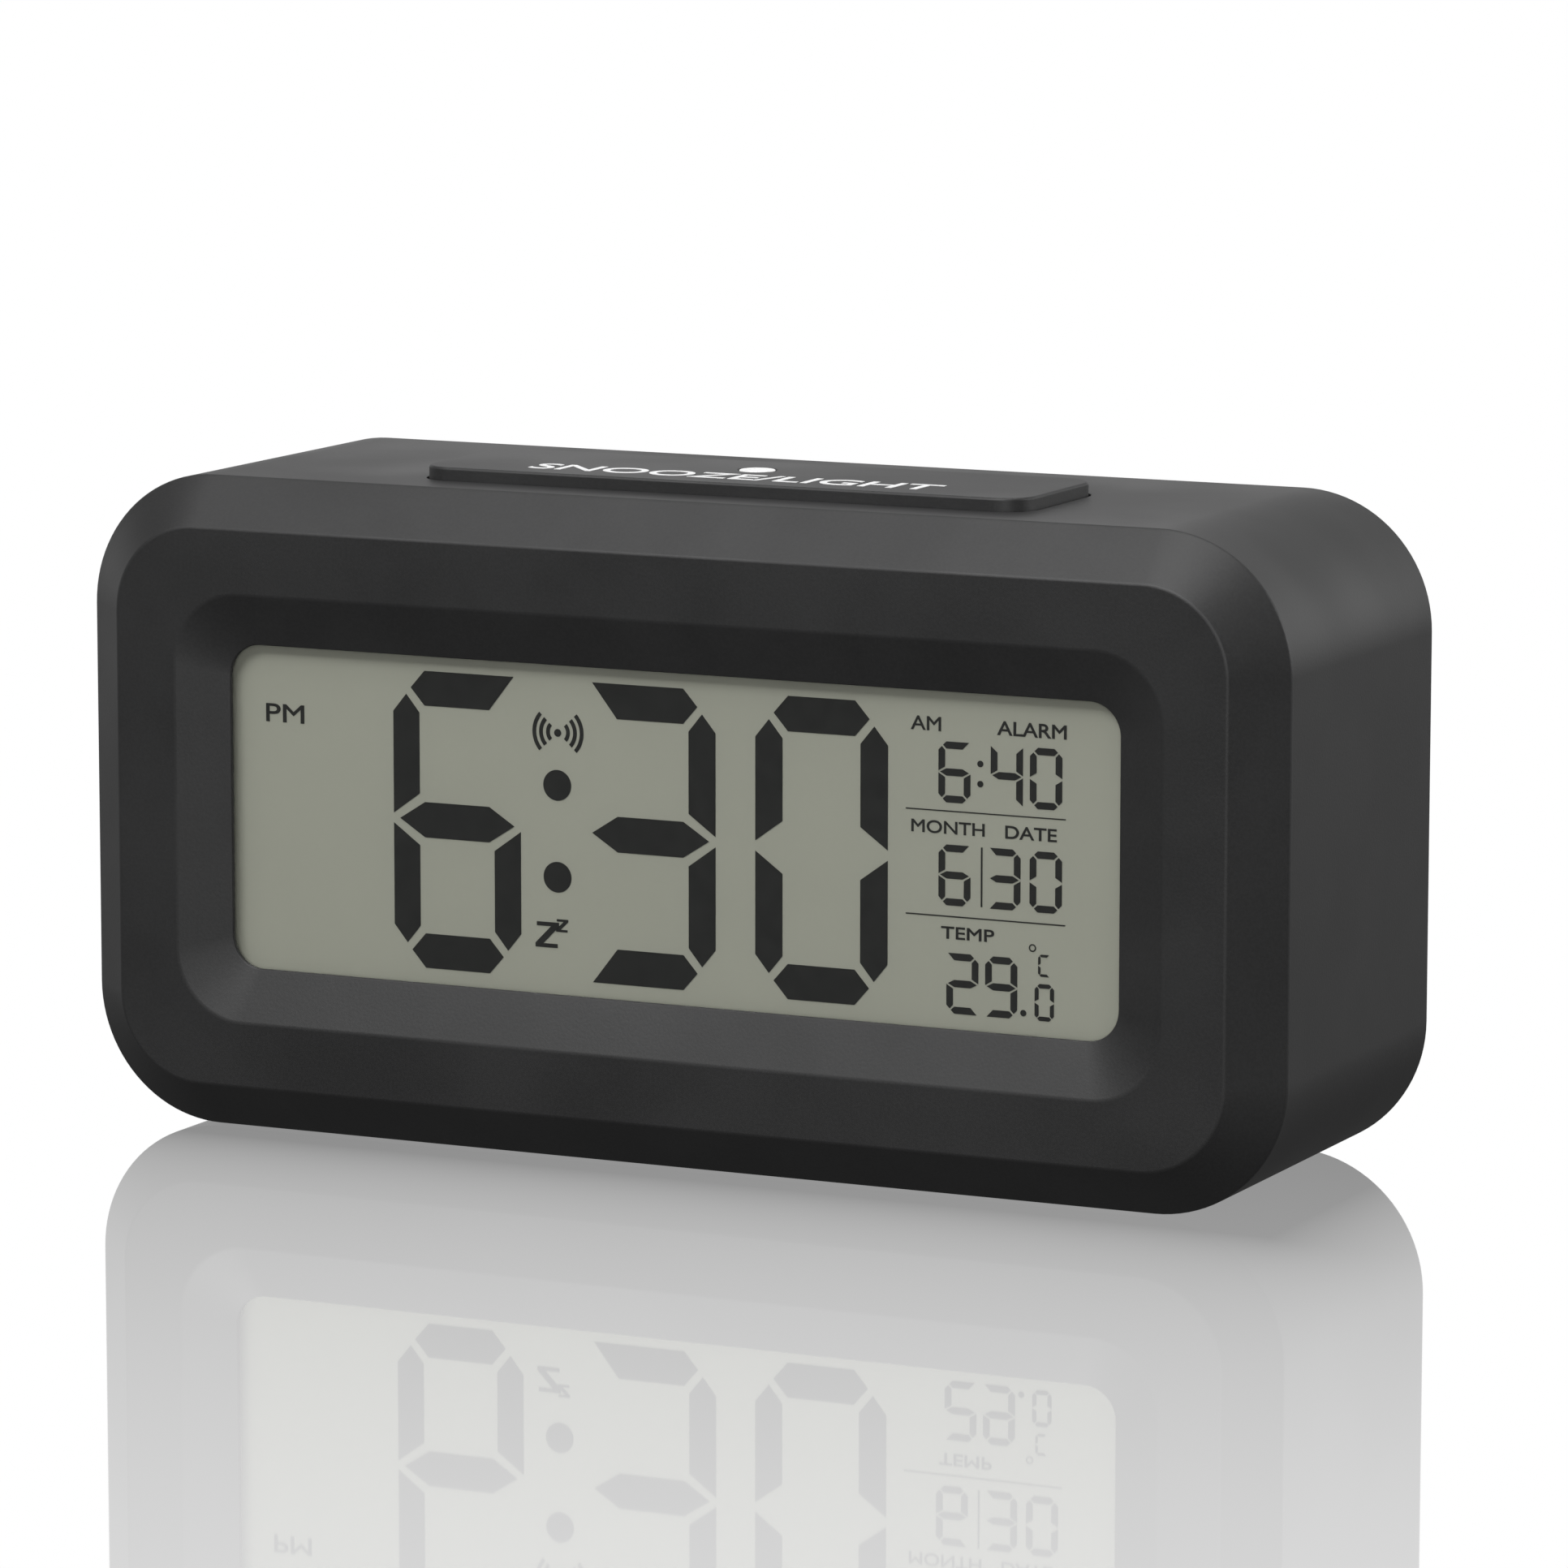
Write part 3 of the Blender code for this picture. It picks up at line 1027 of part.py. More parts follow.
def thermistor():
    """The temperature sensor on its sleeved legs, which hold it behind the vents."""
    top = COVER_INNER - THERMISTOR_SHORT_OF_COVER - ON_BOARD
    shoulder = THERMISTOR_RADIUS - THERMISTOR_LEG_RADIUS
    profile = [
        (0.0, top),
        (THERMISTOR_LEG_RADIUS, top),
        (THERMISTOR_RADIUS, top - shoulder),
        (THERMISTOR_RADIUS, top - THERMISTOR_BEAD + shoulder),
        (THERMISTOR_LEG_RADIUS, top - THERMISTOR_BEAD),
        (THERMISTOR_LEG_RADIUS, 0.0),
        (0.0, 0.0),
    ]
    turned("thermistor", EPOXY, profile, (VENT_X, ON_BOARD, VENT_Z), "+Y", 12)


# ---------------------------------------------------------------- cells and contacts
def cells():
    body = CELL_LENGTH - CELL_NUB_HEIGHT
    profile = [
        (0.0, CELL_LENGTH),
        (CELL_NUB_RADIUS, CELL_LENGTH),
        (CELL_NUB_RADIUS, body),
        (CELL_RADIUS - CELL_EDGE, body),
        (CELL_RADIUS, body - CELL_EDGE),
        (CELL_RADIUS, CELL_EDGE),
        (CELL_RADIUS - CELL_EDGE, 0.0),
        (0.0, 0.0),
    ]
    for index in range(CELL_COUNT):
        sign = 1 if index % 2 == 0 else -1
        foot = (sign * (BAY_HALF_X - NUB_ROOM - CELL_LENGTH), CELL_Y, cell_z(index))
        turned(f"cell_{index + 1}", CELL_SLEEVE, profile, foot, "+X" if sign > 0 else "-X")


def coil(sign, index):
    """A tapered spring at one end of the bay, from the cell's flat end out to the bay's wall."""
    wall = BAY_HALF_X - FIT_GAP - WIRE_RADIUS
    tip = BAY_HALF_X - SPRING_ROOM + FIT_GAP + WIRE_RADIUS
    count = COIL_TURNS * COIL_STEPS
    points = []
    for step in range(count + 1):
        share = step / count
        radius = COIL_NARROW + (COIL_WIDE - COIL_NARROW) * share
        angle = 2 * math.pi * COIL_TURNS * share
        x = sign * (tip + (wall - tip) * share)
        y, z = CELL_Y - radius * math.cos(angle), cell_z(index) + radius * math.sin(angle)
        points.append((x, y, z))
    return points


def linking_contact(name, sign, index):
    """One bent wire: a spring for one cell, then a loop on the wall for the next cell's nub."""
    wall = sign * (BAY_HALF_X - FIT_GAP - WIRE_RADIUS)
    points = coil(sign, index)
    loop_z = cell_z(index + 1)
    for step in range(COIL_STEPS):
        angle = CONTACT_BUMP_TURN * step / (COIL_STEPS - 1)
        y = CELL_Y - CONTACT_BUMP_RADIUS * math.cos(angle)
        points.append((wall, y, loop_z + CONTACT_BUMP_RADIUS * math.sin(angle)))
    wire(name, NICKEL, points, WIRE_RADIUS)


def contacts():
    """Two links between neighbouring cells, a spring at the string's one end, a plate at the other."""
    linking_contact("contact_link_left", -1, 0)
    linking_contact("contact_link_right", 1, 1)

    points = coil(-1, CELL_COUNT - 1)
    x, _, z = points[-1]
    wire("contact_spring_negative", NICKEL, [*points, (x, TAIL_END, z)], WIRE_RADIUS)

    z = cell_z(0)
    face = BAY_HALF_X - FIT_GAP - CONTACT_THICKNESS
    half = CONTACT_SIDE / 2
    low, high = (face, CELL_Y - half, z - half), (face + CONTACT_THICKNESS, CELL_Y + half, z + half)
    contact = block("contact_plate_positive", NICKEL, low, high)
    bump_x = face - CONTACT_BUMP_HEIGHT
    bump_length = CONTACT_BUMP_HEIGHT + CONTACT_THICKNESS / 2
    bump = rod("contact_bump", None, (bump_x, CELL_Y, z), CONTACT_BUMP_RADIUS, bump_length, "+X")
    tail_low = (face, TAIL_END, z - TAIL_WIDTH / 2)
    tail = block("contact_tail", None, tail_low, (face + CONTACT_THICKNESS, CELL_Y, z + TAIL_WIDTH / 2))
    join(contact, [bump, tail])


# ---------------------------------------------------------------- battery door
def battery_door():
    """The door, with two tabs behind the cover's lower edge and a spring tongue at the top."""
    outline = round_rectangle(DOOR_HALF_X, DOOR_HALF_Z, DOOR_CORNER, 4)
    centre = (0, (DOOR_INNER + COVER_OUTER) / 2, BAY_MID_Z)
    door = sheet("battery_door", BLACK_PLASTIC, outline, DOOR_THICKNESS, centre, FLAT_IN_XZ)
    inside_door = DOOR_INNER + DOOR_THICKNESS / 2
    adds, cuts = [], []
    for sign in SIDES.values():
        low_x, high_x = sign * TAB_SPREAD - TAB_WIDTH / 2, sign * TAB_SPREAD + TAB_WIDTH / 2
        toe_low = (low_x, TAB_FRONT, DOOR_BOTTOM - TAB_REACH)
        adds.append(block("tab_toe", None, toe_low, (high_x, TAB_BACK, DOOR_BOTTOM + TAB_ROOT)))
        root_low = (low_x, TAB_BACK - TAB_THICKNESS / 2, DOOR_BOTTOM)
        adds.append(block("tab_root", None, root_low, (high_x, inside_door, DOOR_BOTTOM + TAB_ROOT)))
        slot_low_x = sign * (LATCH_WIDTH + LATCH_SLOT) / 2 - LATCH_SLOT / 2
        slot_low = (slot_low_x, DOOR_INNER - DOOR_THICKNESS, DOOR_TOP - LATCH_LENGTH)
        slot_high = (slot_low_x + LATCH_SLOT, BEHIND_COVER, DOOR_TOP + LATCH_SLOT)
        cuts.append(block("latch_slot", None, slot_low, slot_high))
    ridge_top = COVER_OUTER + LATCH_RIDGE_HEIGHT
    for index in range(LATCH_RIDGES):
        z = DOOR_TOP - LATCH_RIDGE_PITCH * (index + 1)
        low = (-LATCH_WIDTH / 3, inside_door, z - LATCH_RIDGE_THICKNESS / 2)
        high = (LATCH_WIDTH / 3, ridge_top, z + LATCH_RIDGE_THICKNESS / 2)
        adds.append(block("latch_ridge", None, low, high))
    join(door, adds)
    cut(door, cuts)

    hinge = bpy.data.objects.new("battery_door_axis", None)
    hinge.location = (0, COVER_OUTER, DOOR_BOTTOM)
    CLOCK.objects.link(hinge)
    fix_to(hinge, door)


# ---------------------------------------------------------------- leads and flat cables
def lead(name, look, start_x, start_z, run):
    """A lead from a contact's tail to the main board. The run is how far it goes across and up."""
    start_y, end_y = TAIL_END - SLIDE_GAP, ON_BOARD + SLIDE_GAP
    straight = (start_y - end_y) * LEAD_STRAIGHT
    end_x, end_z = start_x + run[0], BOARD_MID_Z + run[1]
    route = [
        (start_x, start_y, start_z),
        (start_x, start_y - straight, start_z),
        (end_x, end_y + straight, end_z),
        (end_x, end_y, end_z),
    ]
    wire(name, look, smooth_through(route), LEAD_RADIUS)


def ribbon(name, x, width, route):
    """A flat cable along a route of (y, z) points, given its thickness and then its width."""
    middle = smooth_through([(y, z, 0) for y, z in route], 4)
    upper, lower = [], []
    for index, point in enumerate(middle):
        before, after = middle[max(index - 1, 0)], middle[min(index + 1, len(middle) - 1)]
        along = (after - before).normalized()
        across = Vector((-along.y, along.x, 0)) * RIBBON_THICKNESS / 2
        upper.append((point + across)[:2])
        lower.append((point - across)[:2])
    sheet(name, RIBBON_GREY, upper + lower[::-1], width, (x, 0, 0), FLAT_IN_YZ)


def wiring():
    """The battery leads to the main board, and the flat cables from the other two boards."""
    plate_x = BAY_HALF_X - FIT_GAP - CONTACT_THICKNESS / 2
    wire_x = BAY_HALF_X - FIT_GAP - WIRE_RADIUS
    lead("battery_lead_red", RED_LEAD, plate_x, cell_z(0), RED_LEAD_RUN)
    lead("battery_lead_black", BLACK_LEAD, -wire_x, cell_z(CELL_COUNT - 1), BLACK_LEAD_RUN)

    board_top = BOARD_MID_Z + BOARD_HEIGHT / 2
    start = (KEY_BOARD_FRONT - SLIDE_GAP, KEY_BOARD_LOW + KEY_RIBBON_EDGE)
    end = (BOARD_BACK + SLIDE_GAP, board_top - RIBBON_LAND)
    middle = ((start[0] + end[0]) / 2, (start[1] + end[1]) / 2 - RIBBON_SAG)
    ribbon("key_ribbon", KEY_RIBBON_X, KEY_RIBBON_WIDTH, [start, middle, end])
    start = (BAR_Y + SNOOZE_RIBBON_BACK, SNOOZE_BOARD_BOTTOM - SLIDE_GAP)
    end = (BOARD_BACK + SLIDE_GAP, board_top - SNOOZE_RIBBON_LAND)
    middle = (start[0] - RIBBON_SAG, start[1] - SNOOZE_RIBBON_BEND)
    ribbon("snooze_ribbon", SNOOZE_RIBBON_X, SNOOZE_RIBBON_WIDTH, [start, middle, end])


# ---------------------------------------------------------------- assembly
clear_scene()
CLOCK = new_collection("alarm_clock", bpy.context.scene.collection)
CUTTERS = new_collection("cutters", bpy.context.scene.collection, hidden=True)

front_case()
feet()
display()
main_board()
snooze_button()
snooze_board()
rear_cover()
rear_keys()
slide_switch()
buzzer()
thermistor()
cells()
contacts()
battery_door()
wiring()
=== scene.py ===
"""Desk alarm clock: the look of every piece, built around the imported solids."""

import math

import bmesh
import bpy
import mathutils
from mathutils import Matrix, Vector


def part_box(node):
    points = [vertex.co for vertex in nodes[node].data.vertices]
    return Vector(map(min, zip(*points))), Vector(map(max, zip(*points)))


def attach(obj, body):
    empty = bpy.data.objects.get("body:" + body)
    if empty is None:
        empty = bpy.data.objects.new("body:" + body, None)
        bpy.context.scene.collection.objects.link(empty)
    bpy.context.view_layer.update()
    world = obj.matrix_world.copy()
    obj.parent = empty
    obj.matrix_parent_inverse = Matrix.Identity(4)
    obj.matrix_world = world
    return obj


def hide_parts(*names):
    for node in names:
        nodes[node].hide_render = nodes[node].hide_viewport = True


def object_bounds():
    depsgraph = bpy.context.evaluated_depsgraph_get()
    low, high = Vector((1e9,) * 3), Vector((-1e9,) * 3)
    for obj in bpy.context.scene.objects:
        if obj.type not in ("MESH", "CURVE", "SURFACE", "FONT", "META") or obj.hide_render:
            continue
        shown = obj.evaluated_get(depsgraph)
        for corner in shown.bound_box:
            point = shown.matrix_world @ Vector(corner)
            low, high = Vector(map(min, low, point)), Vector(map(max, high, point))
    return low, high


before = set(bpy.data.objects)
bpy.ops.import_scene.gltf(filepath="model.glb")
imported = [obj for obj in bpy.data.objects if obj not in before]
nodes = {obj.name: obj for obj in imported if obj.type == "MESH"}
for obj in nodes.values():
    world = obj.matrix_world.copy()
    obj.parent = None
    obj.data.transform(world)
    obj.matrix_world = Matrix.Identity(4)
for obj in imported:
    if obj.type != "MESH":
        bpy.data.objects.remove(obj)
cad_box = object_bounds()


# ---------------- camera, table and light
# A long lens looks a little down on the clock from its right. The table is polished white
# board, most mirror-like close to the clock and plain white far off. Right by the clock the
# mirror share rises steeply, which also paints the shade where the clock meets the table. The
# light comes from five soft boxes, one overhead, two in front and one on each side, and a white backdrop.
MM = 0.001


class Value:
    """A shader socket or a number, so that shader maths reads as a Python expression."""

    def __init__(self, finish, source):
        self.finish = finish
        self.source = source

    def maths(self, operation, *others, clamp=False):
        settings = {"operation": operation, "use_clamp": clamp}
        return self.finish.node("ShaderNodeMath", settings, {0: self, **dict(enumerate(others, 1))})

    def __add__(self, other):
        return self.maths("ADD", other)

    def __sub__(self, other):
        return self.maths("SUBTRACT", other)

    def __rsub__(self, other):
        return self.finish.node("ShaderNodeMath", {"operation": "SUBTRACT"}, {0: other, 1: self})

    def __mul__(self, other):
        return self.maths("MULTIPLY", other)

    __radd__ = __add__
    __rmul__ = __mul__

    def __abs__(self):
        return self.maths("ABSOLUTE")

    def between(self, low, high, start=0.0, end=1.0):
        """This value's way from low to high, smoothed, as a way from start to end."""
        values = {"Value": self, "From Min": low, "From Max": high, "To Min": start, "To Max": end}
        return self.finish.node("ShaderNodeMapRange", {"interpolation_type": "SMOOTHSTEP"}, values)


class Finish:
    """A node-based finish: one node's sockets are filled with values, or with other nodes."""

    def __init__(self, owner):
        owner.use_nodes = True
        self.owner = owner
        self.tree = owner.node_tree
        self.tree.nodes.clear()

    def fill(self, socket, value):
        if isinstance(value, Value):
            self.tree.links.new(value.source, socket)
        elif socket.type == "RGBA" and len(value) == 3:
            socket.default_value = (*value, 1.0)
        else:
            socket.default_value = value

    def node(self, kind, settings=None, values=None, output=0):
        node = self.tree.nodes.new(kind)
        for name, setting in (settings or {}).items():
            if name == "stops":
                ramp = node.color_ramp.elements
                ramp[0].position, ramp[1].position = setting[0][0], setting[-1][0]
                ramp[0].color, ramp[1].color = (*setting[0][1], 1.0), (*setting[-1][1], 1.0)
                for place, colour in setting[1:-1]:
                    ramp.new(place).color = (*colour, 1.0)
            else:
                setattr(node, name, setting)
        for name, value in (values or {}).items():
            self.fill(node.inputs[name], value)
        return Value(self, node.outputs[output]) if node.outputs else node

    def blend(self, share, first, second):
        """A colour part of the way from the first to the second."""
        node = self.tree.nodes.new("ShaderNodeMix")
        node.data_type = "RGBA"
        self.fill(node.inputs[0], share)
        self.fill(node.inputs[6], first)
        self.fill(node.inputs[7], second)
        return Value(self, node.outputs[2])

    def where(self):
        """This point's x, y and z on the object."""
        place = self.node("ShaderNodeTexCoord", output="Object")
        split = self.tree.nodes.new("ShaderNodeSeparateXYZ")
        self.fill(split.inputs[0], place)
        return [Value(self, output) for output in split.outputs]

    def bump(self, strength, depth, height):
        """A fine relief of this depth in metres."""
        values = {"Strength": strength, "Distance": depth, "Height": height}
        return self.node("ShaderNodeBump", None, values)

    def surface(self, values):
        """Ends the finish in one plain shader with these values, and gives the material."""
        shader = self.node("ShaderNodeBsdfPrincipled", None, values)
        self.node("ShaderNodeOutputMaterial", None, {"Surface": shader})
        return self.owner

    def noise(self, size, detail=2.0, stretch=(1, 1, 1)):
        """Soft random variation, about 0 to 1, in patches of this size in metres."""
        place = self.node("ShaderNodeTexCoord", output="Object")
        if stretch != (1, 1, 1):
            place = self.node("ShaderNodeMapping", None, {"Vector": place, "Scale": stretch})
        return self.node("ShaderNodeTexNoise", None, {"Vector": place, "Scale": 1 / size, "Detail": detail})


bpy.ops.object.camera_add(
    location=(0.34460, -0.71684, 0.16187),
    rotation=(math.radians(81.114), math.radians(-0.038), math.radians(25.399)),
)
camera = bpy.context.object
camera.data.lens = 178.17
camera.data.sensor_width = 36.0
bpy.context.scene.camera = camera
bpy.context.scene.view_settings.view_transform = "Standard"

TABLE_REACH = 6.0
CONTACT_SHADE_MIRROR, MIRROR_NEAR, MIRROR_FAR = 0.48, 0.45, 1.22
CONTACT_SHADE_REACH, NEAR_REACH = 10 * MM, 110 * MM
MIRROR_FADES, MIRROR_ENDS = 200 * MM, 450 * MM
bpy.ops.mesh.primitive_plane_add(size=2 * TABLE_REACH, location=(0, 0, 0))
table = bpy.context.object
table.name = "table_top"
table.visible_diffuse = False
table.visible_glossy = False
table.visible_shadow = False
table_material = bpy.data.materials.new("polished_white_board")
board = Finish(table_material)
x, y, _ = board.where()
beside_x = (abs(x) - cad_box[1][0]).maths("MAXIMUM", 0.0)
beside_y = (abs(y) - cad_box[1][1]).maths("MAXIMUM", 0.0)
away = (beside_x * beside_x + beside_y * beside_y).maths("SQRT")
# The steep term within a centimetre of the clock is painted contact shade: it darkens the table there through
# a stronger reflection of the dark case.
polish = (
    (away * (-1 / CONTACT_SHADE_REACH)).maths("EXPONENT") * CONTACT_SHADE_MIRROR
    + (away * (-1 / NEAR_REACH)).maths("EXPONENT") * MIRROR_NEAR
    + MIRROR_FAR
)
near_share = away.between(MIRROR_FADES, MIRROR_ENDS, 1.0, 0.0)
mirror = board.node("ShaderNodeFresnel", None, {"IOR": 1.5}) * polish * near_share
white = board.node("ShaderNodeEmission", None, {"Color": (1, 1, 1), "Strength": 1.0})
gloss = board.node("ShaderNodeBsdfGlossy", None, {"Color": (1, 1, 1), "Roughness": 0.02})
mixed = board.node("ShaderNodeMixShader", None, {0: mirror, 1: white, 2: gloss})
board.node("ShaderNodeOutputMaterial", None, {"Surface": mixed})
table.data.materials.append(table_material)

world = bpy.data.worlds.new("studio")
bpy.context.scene.world = world
sky = Finish(world)
toward = sky.node("ShaderNodeTexCoord", output="Generated")
split = sky.tree.nodes.new("ShaderNodeSeparateXYZ")
sky.fill(split.inputs[0], toward)
behind, up = Value(sky, split.outputs[1]), Value(sky, split.outputs[2])
BACKDROP, BACKDROP_TOP, ROOM, ROOM_TOP, BELOW = 1.0, 0.41, 0.10, 0.02, 0.12
low_down = behind.between(0.15, 0.6, ROOM, BACKDROP)
high_up = behind.between(0.15, 0.6, ROOM_TOP, BACKDROP_TOP)
top_share = up.between(0.25, 0.45)
level = low_down * (1 - top_share) + high_up * top_share
strength = level * up.between(-0.1, 0.0) + up.between(-0.1, 0.0, BELOW, 0.0)
seen = sky.node("ShaderNodeLightPath", output="Is Camera Ray")
light = strength * (1 - seen) + seen
backdrop = sky.node("ShaderNodeBackground", None, {"Color": (1, 1, 1), "Strength": light})
sky.node("ShaderNodeOutputWorld", None, {"Surface": backdrop})


def soft_box(name, place, size, power):
    """A soft box that faces the clock's middle."""
    aim = mathutils.Vector(place) - mathutils.Vector((0, 0, cad_box[1][2] / 2))
    bpy.ops.object.light_add(type="AREA", location=place, rotation=aim.to_track_quat("Z", "Y").to_euler())
    lamp = bpy.context.object
    lamp.name = name
    lamp.data.shape = "RECTANGLE"
    lamp.data.size, lamp.data.size_y = size
    lamp.data.energy = power
    lamp.visible_camera = False


soft_box("soft_box_top", (0, -0.1, 1.1), (0.9, 0.9), 7.0)
soft_box("soft_box_top_front", (-0.2, -0.9, 0.9), (0.8, 0.5), 10.4)
soft_box("soft_box_left", (-1.1, 0.1, 0.1), (0.5, 0.5), 0.7)
soft_box("soft_box_right_front", (0.5, -1.1, 0.2), (0.4, 0.4), 2.9)
soft_box("soft_box_right", (1.1, 0.5, 0.4), (0.6, 0.6), 4.4)


# ---------------- front case
# The case is one moulding of ABS with a soft matt paint: a deep rounded box whose front edge is
# chamfered and whose face slopes in to the display. It is open at the back.
CORNER_STEPS = 24
CASE_CORNER = 14.2 * MM
CASE_WALL = 2.2 * MM
CHAMFER_IN, CHAMFER_BACK = 5.05 * MM, 4.4 * MM
FACE_BORDER = 6.8 * MM
RECESS_IN, RECESS_DEPTH, RECESS_CORNER = 5.45 * MM, 2.3 * MM, 7.5 * MM
WINDOW_CORNER = 3.4 * MM
FACE_THICKNESS = 2.8 * MM
DRAFT = 0.02 * MM
CREASE, WINDOW_EDGE, RIM_EDGE = 0.24 * MM, 0.15 * MM, 0.5 * MM
BAR_GAP = 0.25 * MM
BAR_CORNER = 3.4 * MM
BAR_HALF = (34.2 * MM, 9.65 * MM)
OPENING_EDGE = 0.12 * MM
FOOT_SEAT, FOOT_SEAT_TOP = 4.15 * MM, 1.0 * MM
TINY, SHARP = 0.001 * MM, 0.5
FRONT_TURN = (math.pi / 2, 0, 0)


def only(*objects):
    """Selects these objects alone, the first of them active."""
    bpy.ops.object.select_all(action="DESELECT")
    for obj in objects:
        obj.select_set(True)
    bpy.context.view_layer.objects.active = objects[0]


def pick(obj, kind, test):
    """Opens the object for editing with the vertices, edges or faces that pass the test selected."""
    only(obj)
    bpy.ops.object.mode_set(mode="EDIT")
    bpy.ops.mesh.select_mode(type=kind)
    bpy.ops.mesh.select_all(action="DESELECT")
    mesh = bmesh.from_edit_mesh(obj.data)
    for element in {"VERT": mesh.verts, "EDGE": mesh.edges, "FACE": mesh.faces}[kind]:
        if test(element):
            element.select_set(True)
    bmesh.update_edit_mesh(obj.data)


def done():
    bpy.ops.object.mode_set(mode="OBJECT")


def every(element):
    return True


def extrude(*move):
    """Pulls the selected faces out by this much in x, y and z."""
    bpy.ops.mesh.extrude_region_move(TRANSFORM_OT_translate={"value": move})


def inset(width, depth=0.0):
    """Insets the selected faces and raises them by the depth."""
    bpy.ops.mesh.inset(thickness=width, depth=depth)


def outwards():
    """Turns every face outwards."""
    bpy.ops.mesh.select_all(action="SELECT")
    bpy.ops.mesh.normals_make_consistent(inside=False)


def middle_of(name):
    """The x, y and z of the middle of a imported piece's box."""
    low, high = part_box(name)
    return [(start + end) / 2 for start, end in zip(low, high)]


def settle():
    """Puts the active object's place, turn and size into its mesh."""
    bpy.ops.object.transform_apply(location=True, rotation=True, scale=True)
    return bpy.context.object


def plate(name, centre, half_size, corner, steps=CORNER_STEPS, turn=(0, 0, 0)):
    """A flat plate with rounded corners."""
    bpy.ops.mesh.primitive_plane_add(size=2, location=centre, rotation=turn)
    obj = bpy.context.object
    obj.name = obj.data.name = name
    obj.scale = (*half_size, 1)
    settle()
    pick(obj, "VERT", every)
    bpy.ops.mesh.bevel(offset=corner, segments=steps, affect="VERTICES")
    done()
    return obj


def slab(name, centre, half_size, corner, thickness, steps=CORNER_STEPS, turn=(0, 0, 0)):
    """A plate with rounded corners and this thickness, its middle at the centre."""
    direction = mathutils.Euler(turn).to_matrix() @ mathutils.Vector((0, 0, 1))
    foot = mathutils.Vector(centre) - direction * thickness / 2
    obj = plate(name, foot, half_size, corner, steps, turn)
    pick(obj, "FACE", every)
    extrude(*(direction * thickness))
    outwards()
    done()
    return obj


def block(name, low, high):
    """A square-edged block between two corners, for cutting or joining."""
    low, high = mathutils.Vector(low), mathutils.Vector(high)
    bpy.ops.mesh.primitive_cube_add(size=1, location=(low + high) / 2)
    obj = bpy.context.object
    obj.name = obj.data.name = name
    obj.scale = high - low
    return settle()


def rod(name, foot, radius, length, sides=48, turn=(0, 0, 0)):
    """A round rod from its foot along its own turned z."""
    direction = mathutils.Euler(turn).to_matrix() @ mathutils.Vector((0, 0, 1))
    middle = mathutils.Vector(foot) + direction * length / 2
    bpy.ops.mesh.primitive_cylinder_add(
        vertices=sides, radius=radius, depth=length, location=middle, rotation=turn
    )
    obj = bpy.context.object
    obj.name = obj.data.name = name
    return settle()


def apply(obj, kind, **settings):
    """Adds a modifier and applies it."""
    only(obj)
    modifier = obj.modifiers.new(kind.lower(), kind)
    for name, setting in settings.items():
        setattr(modifier, name, setting)
    bpy.ops.object.modifier_apply(modifier=modifier.name)


def combine(obj, operation, tools):
    """Joins the tools to the object, or cuts them from it, and removes them."""
    only(*tools)
    if len(tools) > 1:
        group = bpy.data.collections.new("tools")
        for tool in tools:
            group.objects.link(tool)
        apply(
            obj, "BOOLEAN", operation=operation, operand_type="COLLECTION", collection=group, solver="EXACT"
        )
        bpy.data.collections.remove(group)
    else:
        apply(obj, "BOOLEAN", operation=operation, object=tools[0], solver="EXACT")
    for tool in tools:
        bpy.data.objects.remove(tool)


def soften(obj, width, segments=3, angle=35):
    """Rounds every edge that turns by more than the angle."""
    apply(
        obj,
        "BEVEL",
        width=width,
        segments=segments,
        limit_method="ANGLE",
        angle_limit=math.radians(angle),
        use_clamp_overlap=True,
    )


def wear(obj, material, body, slot, *stands_for, angle=32):
    """Gives a finished piece its material, its smooth shading and its body. The slot is not used."""
    obj.data.materials.clear()
    obj.data.materials.append(material)
    only(obj)
    bpy.ops.object.shade_smooth_by_angle(angle=math.radians(angle))
    apply(obj, "WEIGHTED_NORMAL", keep_sharp=True)
    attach(obj, body)
    if stands_for:
        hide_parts(*stands_for)
    return obj


def shade(colour, share):
    return tuple(channel * share for channel in colour)


def painted(name, colour, roughness, grain=0.25 * MM, depth=0.02 * MM, mottle=0.12, rub=0.08):
    """Matt paint or moulded plastic: fine grain, faint cloudy mottling and slightly polished patches."""
    finish = Finish(bpy.data.materials.new(name))
    fine = finish.noise(grain, 3.0)
    cloudy = finish.noise(40 * grain, 3.0)
    patches = finish.noise(90 * grain, 2.0)
    spread = fine.between(0.3, 0.7) * 0.5 + cloudy.between(0.35, 0.65) * 0.5
    base = finish.blend(spread, shade(colour, 1 - mottle), shade(colour, 1 + mottle))
    bump = finish.bump(0.35, depth, fine)
    rough = patches.between(0.35, 0.65, roughness - rub / 2, roughness + rub / 2) + (fine - 0.5) * 0.06
    return finish.surface({"Base Color": base, "Roughness": rough, "Normal": bump})


